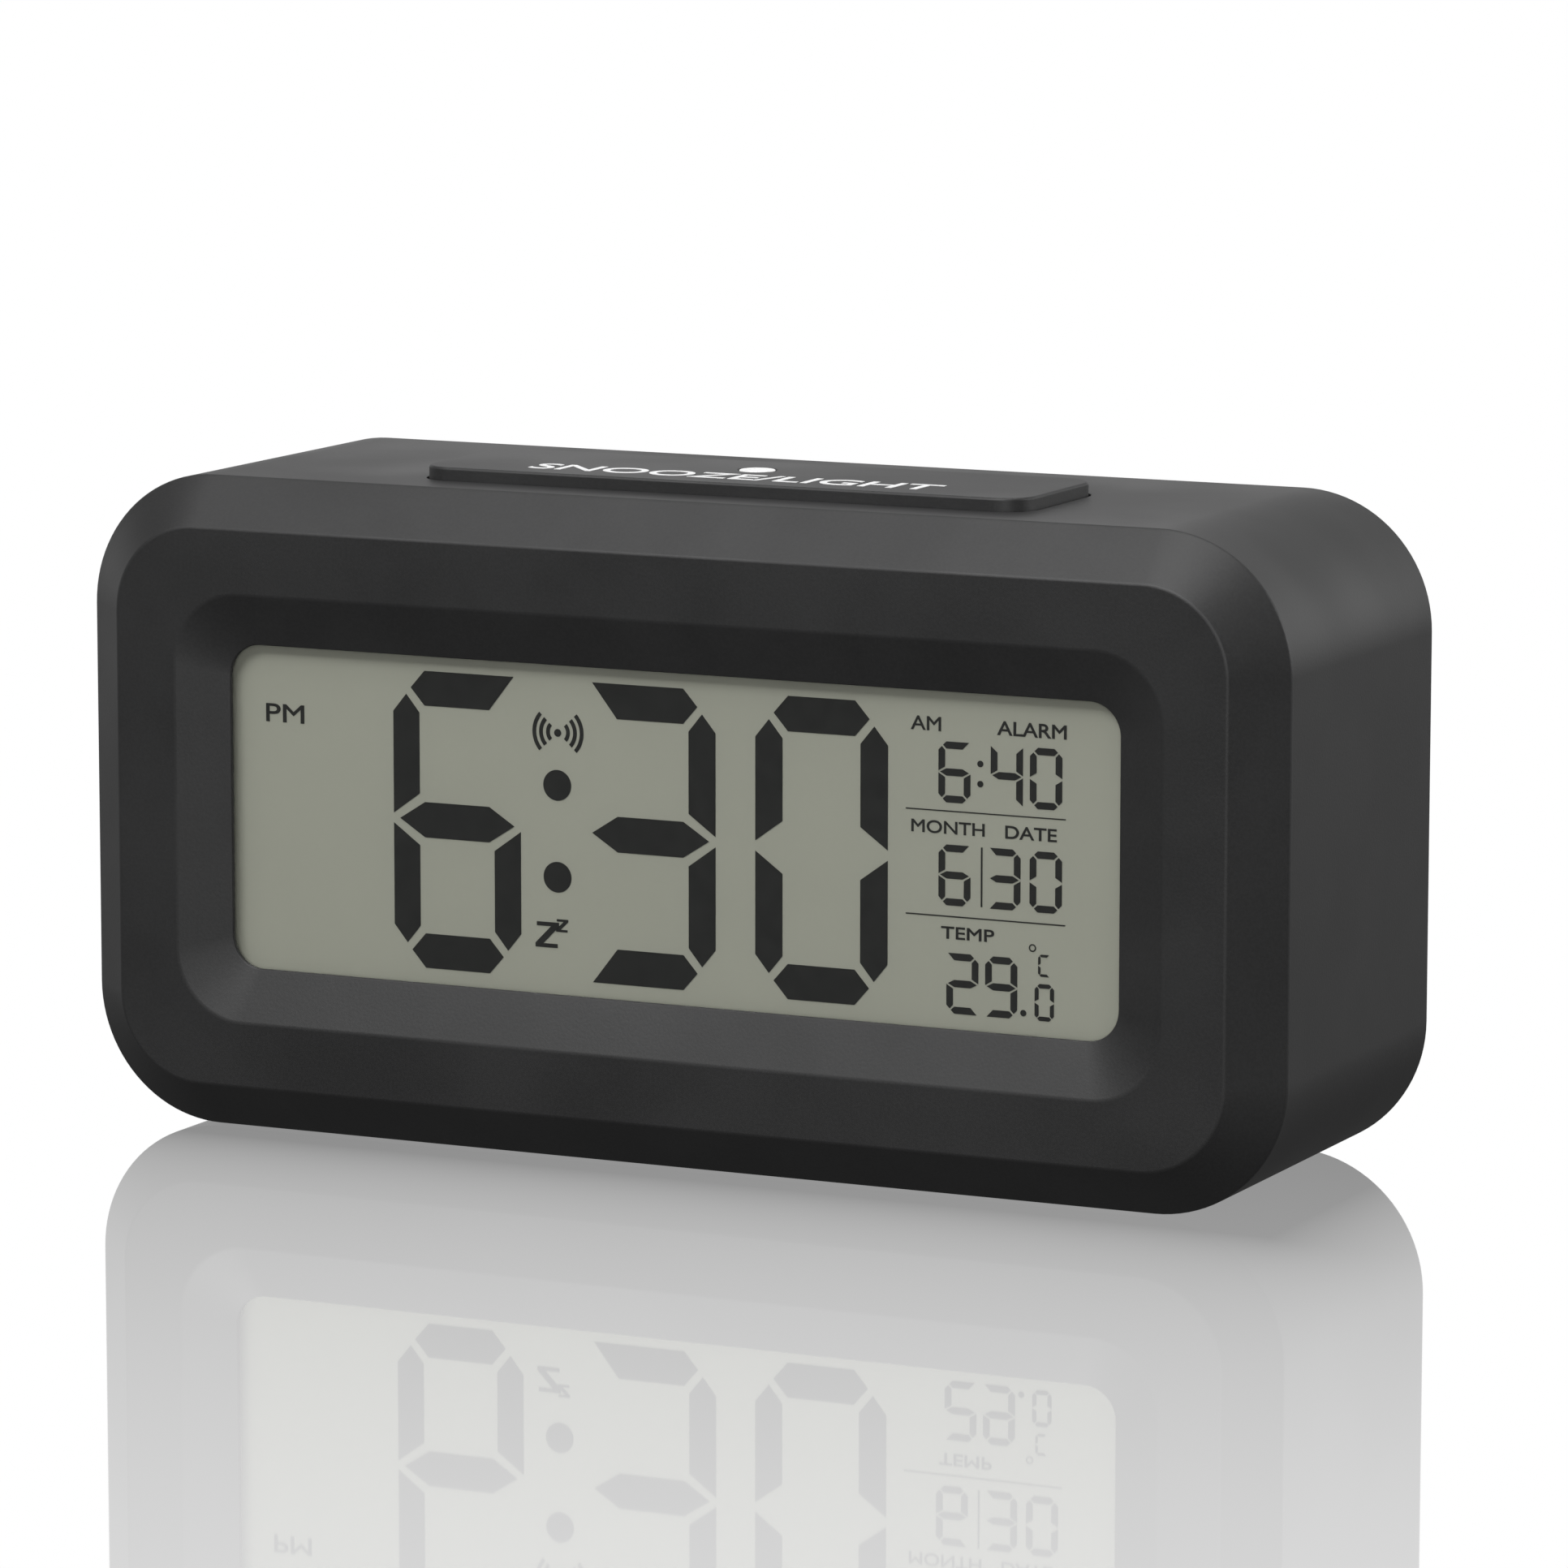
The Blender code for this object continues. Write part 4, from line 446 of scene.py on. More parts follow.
case_low, case_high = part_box("front_case")
case_middle = (case_low + case_high) / 2
case_half = (case_high - case_low) / 2
slope = CHAMFER_BACK / CHAMFER_IN
slope_length = math.hypot(CHAMFER_IN, CHAMFER_BACK)
inner_in = CASE_WALL * CHAMFER_BACK / slope_length
inner_y = case_low.y + CHAMFER_BACK + CASE_WALL * CHAMFER_IN / slope_length
face_inner = case_low.y + FACE_THICKNESS
face_in = inner_in + (inner_y - face_inner) / slope
window_in = CHAMFER_IN + FACE_BORDER + RECESS_IN
sections = [
    (case_high.y, 0.0, CASE_CORNER, RIM_EDGE),
    (case_low.y + CHAMFER_BACK, 0.0, CASE_CORNER, CREASE),
    (case_low.y, CHAMFER_IN, CASE_CORNER - CHAMFER_IN, CREASE),
    (case_low.y + DRAFT, CHAMFER_IN + FACE_BORDER, RECESS_CORNER, CREASE),
    (case_low.y + RECESS_DEPTH, window_in, WINDOW_CORNER, WINDOW_EDGE),
    (face_inner, window_in, WINDOW_CORNER, WINDOW_EDGE),
    (face_inner + DRAFT, face_in, CASE_CORNER - face_in, CREASE),
    (inner_y - (CASE_WALL - inner_in) * slope, CASE_WALL, CASE_CORNER - CASE_WALL, CREASE),
    (case_high.y - DRAFT, CASE_WALL, CASE_CORNER - CASE_WALL, RIM_EDGE),
]
rings = []
for y, stands_in, corner, _ in sections:
    half_size = (case_half.x - stands_in, case_half.z - stands_in)
    ring = plate("case_ring", (0, y, case_middle.z), half_size, corner, turn=FRONT_TURN)
    pick(ring, "FACE", every)
    bpy.ops.mesh.delete(type="ONLY_FACE")
    done()
    rings.append(ring)
ring_size = len(rings[0].data.vertices)
only(*rings)
bpy.ops.object.join()
case = bpy.context.object
case.name = case.data.name = "case_moulding"
for first in range(len(sections)):
    pair = {(first, first), ((first + 1) % len(sections),) * 2}
    pick(case, "EDGE", lambda edge: tuple(vert.index // ring_size for vert in edge.verts) in pair)
    bpy.ops.mesh.bridge_edge_loops()
    done()
pick(case, "FACE", every)
outwards()
done()
softness = case.data.attributes.new("bevel_weight_edge", "FLOAT", "EDGE")
for edge in case.data.edges:
    first, second = (vertex // ring_size for vertex in edge.vertices)
    if first == second:
        softness.data[edge.index].value = sections[first][3] / RIM_EDGE
apply(case, "BEVEL", width=RIM_EDGE, segments=4, limit_method="WEIGHT", use_clamp_overlap=True)

bar_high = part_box("snooze_button")[1]
bar_half = mathutils.Vector(BAR_HALF)
bar_x, bar_y, _ = middle_of("snooze_button")
opening_half = (bar_half.x + BAR_GAP, bar_half.y + BAR_GAP)
opening = slab(
    "bar_opening", (bar_x, bar_y, case_high.z), opening_half, BAR_CORNER + BAR_GAP, 4 * CASE_WALL, 12
)
seats = [
    rod("foot_seat", (*(sum(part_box(name), mathutils.Vector()) / 2)[:2], 0), FOOT_SEAT, FOOT_SEAT_TOP)
    for name in nodes
    if name.startswith("foot_")
]
combine(case, "DIFFERENCE", [opening, *seats])


def on_opening(edge):
    """True for the top edge round the bar's opening."""
    middle = (edge.verts[0].co + edge.verts[1].co) / 2
    reach = (abs(middle.x - bar_x) - opening_half[0], abs(middle.y - bar_y) - opening_half[1])
    level = all(abs(vert.co.z - case_high.z) < TINY for vert in edge.verts)
    return level and max(reach) < BAR_GAP and edge.calc_face_angle() > SHARP


pick(case, "EDGE", on_opening)
bpy.ops.mesh.bevel(offset=OPENING_EDGE, segments=2)
done()

black_paint = painted("soft_touch_paint", (0.021, 0.021, 0.0213), 0.52, 0.3 * MM, 0.03 * MM, 0.2)
wear(case, black_paint, "case", "black_soft_paint", "front_case")


# ---------------- top bar
# The snooze and light bar is a hollow moulding of the same painted ABS. Its flange holds it under
# the case's wall, and it is pressed down on two switches.
FLANGE, FLANGE_THICKNESS, FLANGE_GAP = 1.2 * MM, 1.0 * MM, 0.15 * MM
BAR_ROOF = 1.6 * MM
BAR_EDGE = 0.3 * MM
PRINT = 0.04 * MM
DOT_GAP = 0.1 * MM
DOT_HOLE_BELOW, DOT_HOLE_LENGTH = 2 * MM, 10 * MM
PLUNGER = 1.8 * MM

flange_top = case_high.z - CASE_WALL - FLANGE_GAP
flange_bottom = flange_top - FLANGE_THICKNESS
bar_top = bar_high.z - PRINT
flange_half = (bar_half.x + FLANGE, bar_half.y + FLANGE)
bar = plate("snooze_light_bar", (bar_x, bar_y, flange_bottom), flange_half, BAR_CORNER + FLANGE, 12)
pick(bar, "FACE", every)
extrude(0, 0, FLANGE_THICKNESS)
done()
pick(bar, "FACE", lambda face: face.calc_center_median().z > flange_top - PRINT)
inset(FLANGE)
extrude(0, 0, bar_top - flange_top)
outwards()
done()
hollow_half = (bar_half.x - BAR_ROOF, bar_half.y - BAR_ROOF)
hollow_height = bar_top - BAR_ROOF - flange_bottom
hollow_foot = (bar_x, bar_y, flange_bottom)
hollow = slab("bar_hollow", hollow_foot, hollow_half, BAR_CORNER - BAR_ROOF, 2 * hollow_height, 8)
dot_low, dot_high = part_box("sensor_window")
dot_middle = (dot_low + dot_high) / 2
dot_radius = (dot_high.x - dot_low.x) / 2
dot_hole = rod("dot_hole", dot_low, dot_radius + DOT_GAP, DOT_HOLE_LENGTH)
dot_hole.data.transform(mathutils.Matrix.Translation((dot_radius, dot_radius, -DOT_HOLE_BELOW)))
combine(bar, "DIFFERENCE", [hollow, dot_hole])


def on_bar_top(edge):
    """True for a sharp edge of the bar's top face."""
    level = all(abs(vert.co.z - bar_top) < PRINT / 9 for vert in edge.verts)
    return level and edge.calc_face_angle() > SHARP


pick(bar, "EDGE", on_bar_top)
bpy.ops.mesh.bevel(offset=BAR_EDGE, segments=4)
done()
plungers = []
for side in ("left", "right"):
    stem = f"snooze_stem_{side}"
    foot = (middle_of(stem)[0], bar_y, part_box(stem)[1].z + DOT_GAP)
    plungers.append(rod("bar_plunger", foot, PLUNGER, bar_top - BAR_ROOF / 2 - foot[2], 32))
combine(bar, "UNION", plungers)
wear(bar, black_paint, "snooze_bar", "black_soft_paint", "snooze_button")


# ---------------- light window and bar lettering
# A milky pin shows through the bar over the light sensor. The words are pad-printed in white
# ink, a few hundredths of a millimetre thick.
DOT_EDGE, INK = 0.12 * MM, 1.5 * PRINT
LABEL_LOW, LABEL_HIGH = (-21.25 * MM, -8.3 * MM), (24.5 * MM, -4.0 * MM)
LABEL_BOLD = 0.06 * MM


def words(name, body, low, high, thickness, place, turn=(0, 0, 0), boldness=0.0):
    """Lettering that fills the box between two corners on a turned plane at this place, facing its z.

    Boldness is how far, in metres, each stroke's walls are moved out."""
    bpy.ops.object.text_add(location=(0, 0, 0))
    obj = bpy.context.object
    obj.data.body = body
    obj.data.resolution_u = 6
    bpy.ops.object.convert(target="MESH")
    obj = bpy.context.object
    obj.name = obj.data.name = name
    corners = [mathutils.Vector(corner) for corner in obj.bound_box]
    start, end = corners[0], corners[6]
    size = (high[0] - low[0] - 2 * boldness, high[1] - low[1] - 2 * boldness)
    obj.scale = (size[0] / (end.x - start.x), size[1] / (end.y - start.y), 1)
    low = (low[0] + boldness, low[1] + boldness)
    obj.location = (low[0] - start.x * obj.scale.x, low[1] - start.y * obj.scale.y, 0)
    settle()
    pick(obj, "FACE", every)
    bpy.ops.mesh.remove_doubles(threshold=thickness / 20)
    extrude(0, 0, thickness)
    outwards()
    if boldness:
        bpy.ops.transform.shrink_fatten(value=boldness, use_even_offset=True)
    done()
    for vertex in obj.data.vertices:
        vertex.co.z = thickness if vertex.co.z > thickness / 2 else 0.0
    obj.rotation_euler = turn
    obj.location = place
    only(obj)
    return settle()


def plain(name, colour, roughness, variation=0.05, size=1.0 * MM):
    """An even, smooth finish with faint variation: ink, printed film or polished plastic."""
    finish = Finish(bpy.data.materials.new(name))
    spread = finish.noise(size, 4.0).between(0.3, 0.7)
    base = finish.blend(spread, shade(colour, 1 - variation), colour)
    return finish.surface({"Base Color": base, "Roughness": spread * 0.08 + (roughness - 0.04)})


white_ink = plain("white_pad_print", (0.86, 0.86, 0.86), 0.55)
milky = plain("milky_light_window", (0.9, 0.9, 0.89), 0.3, size=0.6 * MM)

window_dot = rod("light_window", (dot_middle.x, dot_middle.y, dot_low.z), dot_radius, dot_high.z - dot_low.z)
soften(window_dot, DOT_EDGE)
wear(window_dot, milky, "snooze_bar", "milk_plastic", "sensor_window")

label_place = (0, 0, bar_top - PRINT / 2)
label = words("bar_label", "SNOOZE/LIGHT", LABEL_LOW, LABEL_HIGH, INK, label_place, boldness=LABEL_BOLD)
wear(label, white_ink, "snooze_bar", "milk_plastic")


# ---------------- display
# A reflective liquid-crystal glass sits behind a clear window. Its dark segments, words and
# icons are electrodes that lie just under the front of the glass.
GLASS_GAP = 0.02 * MM
SEGMENT_THICKNESS = 0.04 * MM
DIGIT_HALF_X, DIGIT_HALF_Z = 7.375, 15.53
SMALL_HALF_X, SMALL_HALF_Z = 1.75, 3.08
SIDE_WIDTH, SIDE_FOOT, SIDE_FOOT_INNER = 3.04, 0.52, 2.7
PEAK_IN, PEAK_DOWN, SHOULDER_DOWN = 1.52, 2.52, 4.37
BAR_HEIGHT, BAR_IN, BAR_POINT_IN = 3.62, 3.65, 2.05
MIDDLE_HALF, MIDDLE_TIP_IN = 1.85, 0.73
OPEN_END_IN, OPEN_FOOT_IN, OPEN_DOWN = 0.77, 3.6, 3.9
SEGMENTS = {"0": "abcdef", "2": "abged", "3": "abgcd", "4": "fgbc", "6": "afgecd", "9": "abfgcd", "C": "afed"}

lcd_low, lcd_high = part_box("lcd_panel")
segment_y = lcd_low.y - GLASS_GAP


def flat_shape(name, points, x=0.0, z=0.0):
    """A thin flat shape on the front of the glass, through points in millimetres."""
    bpy.ops.mesh.primitive_circle_add(vertices=len(points), radius=1, fill_type="NGON")
    obj = bpy.context.object
    obj.name = obj.data.name = name
    for vertex, (px, pz) in zip(obj.data.vertices, points):
        vertex.co = ((x + px) * MM, segment_y, (z + pz) * MM)
    pick(obj, "FACE", every)
    extrude(0, -SEGMENT_THICKNESS, 0)
    outwards()
    done()
    return obj


def mirrored(points, flip_x, flip_z):
    return [(-x if flip_x else x, -z if flip_z else z) for x, z in points]


def segment_points(which, lit):
    """One segment's outline in a digit that is centred on zero, cut to meet its lit neighbours."""
    half_x, half_z = DIGIT_HALF_X, DIGIT_HALF_Z
    inner, point = half_x - BAR_IN, half_x - BAR_POINT_IN
    if which == "g":
        tip, up = half_x - MIDDLE_TIP_IN, MIDDLE_HALF
        return [(-tip, 0), (-inner, up), (inner, up), (tip, 0), (inner, -up), (-inner, -up)]
    if which in "ad":
        low = half_z - BAR_HEIGHT
        left, right = ("f", "b") if which == "a" else ("e", "c")
        outline = []
        for sign, neighbour in ((-1, left), (1, right)):
            if neighbour in lit:
                end = [(sign * inner, low), (sign * point, half_z - BAR_HEIGHT / 2), (sign * inner, half_z)]
            else:
                end = [(sign * (half_x - OPEN_FOOT_IN), low), (sign * (half_x - OPEN_END_IN), half_z)]
            outline += end if sign < 0 else end[::-1]
        return mirrored(outline, False, which == "d")
    ends_open = {"b": "a", "f": "a", "c": "d", "e": "d"}[which] not in lit
    side_in = SIDE_WIDTH - half_x
    top = [(-half_x, half_z - OPEN_END_IN), (side_in, half_z - OPEN_DOWN)]
    if not ends_open:
        shoulder = half_z - SHOULDER_DOWN
        top = [(-half_x, shoulder), (PEAK_IN - half_x, half_z - PEAK_DOWN), (side_in, shoulder)]
    outline = [(-half_x, SIDE_FOOT), *top, (side_in, SIDE_FOOT_INNER)]
    return mirrored(outline, which in "bc", which in "ce")


def digit(character, x, z, half_x=SMALL_HALF_X, half_z=SMALL_HALF_Z):
    """A seven-segment digit of this half size, centred at x and z in millimetres."""
    lit = SEGMENTS[character]
    wide, tall = half_x / DIGIT_HALF_X, half_z / DIGIT_HALF_Z
    shapes = []
    for which in lit:
        points = [(px * wide, pz * tall) for px, pz in segment_points(which, lit)]
        shapes.append(flat_shape("segment", points, x, z))
    return shapes


def joined(name, shapes):
    only(*shapes)
    bpy.ops.object.join()
    obj = bpy.context.object
    obj.name = obj.data.name = name
    return obj


def disc(x, z, radius, sides=40):
    turn = [2 * math.pi * i / sides for i in range(sides)]
    return flat_shape("disc", [(radius * math.cos(a), radius * math.sin(a)) for a in turn], x, z)


def arc(x, z, radius, width, middle, reach, steps=20):
    """A curved stroke about x and z, from middle - reach to middle + reach in degrees."""
    angles = [math.radians(middle - reach + 2 * reach * i / steps) for i in range(steps + 1)]
    far, near = radius + width / 2, radius - width / 2
    outer = [(far * math.cos(a), far * math.sin(a)) for a in angles]
    inner = [(near * math.cos(a), near * math.sin(a)) for a in angles]
    return flat_shape("arc", outer + inner[::-1], x, z)


def display_words(name, body, x, z, width, height, boldness=0.0):
    low, high = (x * MM, z * MM), ((x + width) * MM, (z + height) * MM)
    return words(name, body, low, high, SEGMENT_THICKNESS, (0, segment_y, 0), FRONT_TURN, boldness * MM)


time_shapes = [
    *digit("6", -24.47, 34.40, DIGIT_HALF_X, DIGIT_HALF_Z),
    *digit("3", -2.24, 34.40, DIGIT_HALF_X, DIGIT_HALF_Z),
    *digit("0", 16.98, 34.40, DIGIT_HALF_X, DIGIT_HALF_Z),
    disc(-12.88, 39.03, 1.6),
    disc(-12.88, 29.49, 1.6),
]
time_segments = joined("time_segments", time_shapes)

small_shapes = [
    *digit("6", 31.65, 43.35),
    *digit("4", 37.36, 43.35),
    *digit("0", 41.62, 43.35),
    disc(34.47, 44.39, 0.33, 20),
    disc(34.48, 42.36, 0.33, 20),
    *digit("6", 31.70, 32.93),
    *digit("3", 37.15, 32.93),
    *digit("0", 41.65, 32.93),
    *digit("2", 32.61, 21.95),
    *digit("9", 36.86, 21.95),
    *digit("0", 41.57, 20.76, 1.05, 1.87),
    *digit("C", 41.50, 24.49, 0.62, 1.12),
    disc(39.29, 19.53, 0.33, 20),
]
small_segments = joined("small_segments", small_shapes)

DEGREE_LINE, WAVE_LINE, WAVE_REACH = 0.13, 0.42, 43
Z_SLANT, Z_STROKE_X = 0.06, 2.2
icon_shapes = [
    disc(-12.80, 44.46, 0.4),
    arc(40.25, 26.21, 0.33, DEGREE_LINE, 90, 90),
    arc(40.25, 26.21, 0.33, DEGREE_LINE, 270, 90),
    flat_shape("rule", [(26.32, 39.34), (26.32, 39.46), (43.78, 39.46), (43.78, 39.34)]),
    flat_shape("rule", [(26.35, 28.66), (26.35, 28.79), (43.80, 28.79), (43.80, 28.66)]),
    flat_shape("rule", [(34.58, 29.92), (34.58, 35.97), (34.76, 35.97), (34.76, 29.92)]),
]
for radius in (1.15, 1.95, 2.72):
    for middle in (0, 180):
        icon_shapes.append(arc(-12.77, 44.52, radius, WAVE_LINE, middle, WAVE_REACH))
for x, z, width, height, stroke in ((-15.45, 22.10, 2.72, 2.65, 0.42), (-13.07, 23.81, 1.40, 1.32, 0.24)):
    right, top = x + width, z + height
    slant, across = Z_SLANT * width, Z_STROKE_X * stroke
    outline = [(x, z), (x, z + stroke), (right - across, top - stroke), (x + slant, top - stroke)]
    outline += [(x + slant, top), (right, top), (right, top - stroke), (x + across, z + stroke)]
    outline += [(right - slant, z + stroke), (right - slant, z)]
    icon_shapes.append(flat_shape("sleep_letter", outline))
display_icons = joined("display_icons", icon_shapes)

word_shapes = [
    display_words("word", "PM", -46.86, 43.50, 4.52, 1.92, 0.025),
    display_words("word", "AM", 26.85, 47.42, 3.32, 1.43, 0.025),
    display_words("word", "ALARM", 36.29, 47.44, 7.53, 1.43, 0.035),
    display_words("word", "MONTH", 26.94, 37.06, 8.04, 1.32, 0.025),
    display_words("word", "DATE", 37.22, 37.06, 5.60, 1.32, 0.03),
    display_words("word", "TEMP", 30.26, 26.44, 5.82, 1.26, 0.03),
]
display_lettering = joined("display_lettering", word_shapes)

segment_black = plain("liquid_crystal_dark", (0.021, 0.022, 0.0215), 0.45, 0.12, 2 * MM)
for piece in (time_segments, small_segments, display_icons, display_lettering):
    wear(piece, segment_black, "case", "lcd_grey")


# ---------------- window, glass and what lies behind it
# The clear acrylic window, the liquid-crystal glass with its grey-green reflective back, the
# light guide with its film and lamp, and the frame that clamps them to the case.
def clear(name, roughness, share):
    """Clear plastic: what is behind shows through, under a faint reflection that grows at a slant."""
    finish = Finish(bpy.data.materials.new(name))
    through = finish.node("ShaderNodeBsdfTransparent", None, {"Color": (0.985, 0.985, 0.98)})
    haze = finish.noise(3 * MM, 2.0).between(0.3, 0.7, roughness * 0.8, roughness * 1.2)
    gloss = finish.node("ShaderNodeBsdfGlossy", None, {"Color": (1, 1, 1), "Roughness": haze})
    mirror_share = finish.node("ShaderNodeFresnel", None, {"IOR": 1.45}) * share
    mixed = finish.node("ShaderNodeMixShader", None, {0: mirror_share, 1: through, 2: gloss})
    finish.node("ShaderNodeOutputMaterial", None, {"Surface": mixed})
    return finish.owner


def glass_back(name, colour):
    """The reflective film behind the liquid crystal: fine brushed grain, with painted shade that darkens it
    towards the edges, where the window's recess shades it.
    """
    finish = Finish(bpy.data.materials.new(name))
    x, _, z = finish.where()
    half_x, half_z = (lcd_high.x - lcd_low.x) / 2, (lcd_high.z - lcd_low.z) / 2
    beside = abs(x).between(half_x - 6 * MM, half_x - 2 * MM)
    above = abs(z - (lcd_high.z + lcd_low.z) / 2).between(half_z - 7 * MM, half_z - 3 * MM)
    brushed = finish.noise(0.12 * MM, 2.0, (1, 1, 0.15))
    cloudy = finish.noise(14 * MM, 2.0)
    # Painted shade: the film is made darker near its edges, standing in for the shadow of the window's
    # recess.
    edge = beside.maths("MAXIMUM", above) * 0.25
    share = (brushed * 0.35 + cloudy * 0.4 + edge).maths("ADD", 0.0, clamp=True)
    base = finish.blend(share, shade(colour, 1.05), shade(colour, 0.93))
    return finish.surface({"Base Color": base, "Roughness": 0.6})


def give(material, *names):
    """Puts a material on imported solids."""
    for name in names:
        nodes[name].data.materials.clear()
        nodes[name].data.materials.append(material)


give(clear("clear_acrylic_window", 0.12, 0.5), "display_lens")
give(glass_back("liquid_crystal_glass", (0.461, 0.472, 0.402)), "lcd_panel")
give(clear("clear_light_guide", 0.2, 1.0), "light_guide")
white_film = plain("white_reflector_film", (0.85, 0.85, 0.83), 0.45, size=0.5 * MM)
give(white_film, "reflector_sheet")
give(plain("milky_lamp_plastic", (0.88, 0.86, 0.74), 0.3, size=0.4 * MM), "backlight_led")
natural_plastic = painted("natural_white_plastic", (0.66, 0.65, 0.60), 0.42, 0.4 * MM, 0.01 * MM, 0.04)
give(natural_plastic, "lcd_frame")


def striped(name, colours, pitch, axis, roughness):
    """Two colours in fine stripes across the piece."""
    finish = Finish(bpy.data.materials.new(name))
    place = finish.where()[axis]
    wave = (place * (2 * math.pi / pitch)).maths("SINE")
    rough = finish.noise(0.5 * MM).between(0.3, 0.7, roughness - 0.05, roughness + 0.05)
    base = finish.blend(wave.between(-0.4, 0.4), *colours)
    return finish.surface({"Base Color": base, "Roughness": rough})


zebra = striped("zebra_rubber", ((0.02, 0.02, 0.02), (0.42, 0.16, 0.17)), 0.4 * MM, 0, 0.6)
give(zebra, "zebra_strip")


# ---------------- boards and what they carry
# Green glass-fibre boards with printed copper under the mask. The chip is a drop of black epoxy,
# the quartz crystal sits in a steel can and the push switches are black with natural stems.
def board_finish(name):
    """Green mask over copper tracks, with rows of tinned holes."""
    finish = Finish(bpy.data.materials.new(name))
    place = finish.node("ShaderNodeTexCoord", output="Object")
    across = finish.node("ShaderNodeMapping", None, {"Vector": place, "Rotation": (math.pi / 2, 0, 0)})
    brick = {"Vector": across, "Scale": 90.0, "Mortar Size": 0.05, "Mortar Smooth": 0.0, "Bias": -0.2}
    brick |= {"Color1": (0, 0, 0), "Color2": (0.3, 0.3, 0.3), "Mortar": (1, 1, 1)}
    brick |= {"Brick Width": 0.9, "Row Height": 0.35}
    tracks = finish.node("ShaderNodeTexBrick", {"offset": 0.37, "squash_frequency": 3}, brick)
    dots = finish.node("ShaderNodeTexVoronoi", None, {"Vector": place, "Scale": 230.0, "Randomness": 0.35})
    tinned = dots.between(0.16, 0.13)
    grain = finish.noise(0.3 * MM, 3.0)
    mask = finish.blend(tracks, (0.012, 0.085, 0.032), (0.03, 0.17, 0.06))
    mask = finish.blend(grain.between(0.3, 0.7) * 0.3, mask, (0.008, 0.05, 0.02))
    base = finish.blend(tinned, mask, (0.62, 0.60, 0.56))
    rough = tinned * -0.1 + 0.38 + grain * 0.08
    bump = finish.bump(0.3, 0.03 * MM, tracks)
    return finish.surface({"Base Color": base, "Roughness": rough, "Metallic": tinned * 0.9, "Normal": bump})


def metal(name, colour, roughness, size=0.3 * MM, stretch=(1, 1, 1)):
    """Bright metal with fine drawn or tumbled marks and faint tarnish."""
    finish = Finish(bpy.data.materials.new(name))
    marks = finish.noise(size, 4.0, stretch)
    tarnish = finish.noise(8 * size, 3.0).between(0.4, 0.75)
    base = finish.blend(tarnish * 0.5, colour, shade(colour, 0.78))
    rough = marks * 0.14 + tarnish * 0.1 + (roughness - 0.1)
    bump = finish.bump(0.15, 0.01 * MM, marks)
    return finish.surface({"Base Color": base, "Roughness": rough, "Metallic": 1.0, "Normal": bump})


KEYS = ("mode", "set", "up", "down")
steel = metal("bright_rolled_steel", (0.60, 0.60, 0.60), 0.28)
nickel = metal("nickel_plated_can", (0.66, 0.62, 0.56), 0.25, 0.2 * MM)
black_plastic = painted("black_moulded_plastic", (0.017, 0.017, 0.0175), 0.46, 0.35 * MM, 0.03 * MM)
epoxy = painted("black_epoxy_drop", (0.012, 0.012, 0.013), 0.22, 0.8 * MM, 0.02 * MM)
give(board_finish("green_circuit_board"), "main_board", "key_board", "snooze_board", "backlight_board")
give(epoxy, "clock_chip", "thermistor")
give(steel, "quartz_crystal", "board_screw_left", "board_screw_right", "slide_switch_body")
give(black_plastic, "buzzer", "snooze_switch_left", "snooze_switch_right")
give(black_plastic, *(f"key_switch_{key}" for key in KEYS))
give(natural_plastic, "snooze_stem_left", "snooze_stem_right", *(f"key_stem_{key}" for key in KEYS))
sensor_face = striped("light_sensor_ceramic", ((0.75, 0.68, 0.55), (0.55, 0.12, 0.05)), 0.7 * MM, 1, 0.4)
give(sensor_face, "light_sensor")
give(painted("red_wire_sleeve", (0.42, 0.02, 0.015), 0.4, 0.5 * MM, 0.01 * MM, 0.06), "battery_lead_red")
give(painted("black_wire_sleeve", (0.02, 0.02, 0.02), 0.4, 0.5 * MM, 0.01 * MM, 0.06), "battery_lead_black")
ribbon = striped("grey_flat_cable", ((0.38, 0.38, 0.38), (0.25, 0.25, 0.26)), 1.0 * MM, 0, 0.45)
give(ribbon, "key_ribbon", "snooze_ribbon")


# ---------------- rear cover
# The back plate is a textured black ABS moulding set inside the case's rim. The battery bay, the
# holes for the keys, the switch's slot, the buzzer's grille and the air vents are moulded in it.
COVER_GAP, COVER_THICKNESS, COVER_EDGE = 0.15 * MM, 2.0 * MM, 0.18 * MM
BAY_WALL, BAY_LEDGE = 1.5 * MM, 2.0 * MM
RIB_INSET, RIB_HALF, RIB_HEIGHT = 8 * MM, 0.6 * MM, 2 * MM
SLIDE_GAP, SLIDE_TRAVEL = 0.25 * MM, 2.0 * MM
DOOR_HALF_X, DOOR_BOTTOM, DOOR_TOP = 28.4 * MM, 8.3 * MM, 46.7 * MM
DOOR_THICKNESS, DOOR_CORNER, DOOR_LEDGE = 1.6 * MM, 2.2 * MM, 1.5 * MM
LATCH_HALF, LATCH_SLOT = 7.0 * MM, 0.8 * MM
NOTCH_UP, NOTCH_DEEP = 1.6 * MM, 3.4 * MM
TAB_X, TAB_HALF, TAB_REACH = 16.0 * MM, 4.0 * MM, 1.8 * MM
TAB_DEEP, TOE_ROOM = 1.65 * MM, 1.2 * MM
KEY_HOLE, THROUGH = 3.75 * MM, 5 * MM
GRILLE_RING, GRILLE_HOLE = 3.0 * MM, 0.8 * MM
VENTS, VENT_PITCH, VENT_HALF, VENT_CORNER = 4, 2.8 * MM, (3.5 * MM, 0.6 * MM), 0.55 * MM
SINK_RADIUS, SINK_DEPTH, SCREW_HOLE = 2.85 * MM, 1.2 * MM, 1.55 * MM
BACK_TURN = (-math.pi / 2, 0, 0)

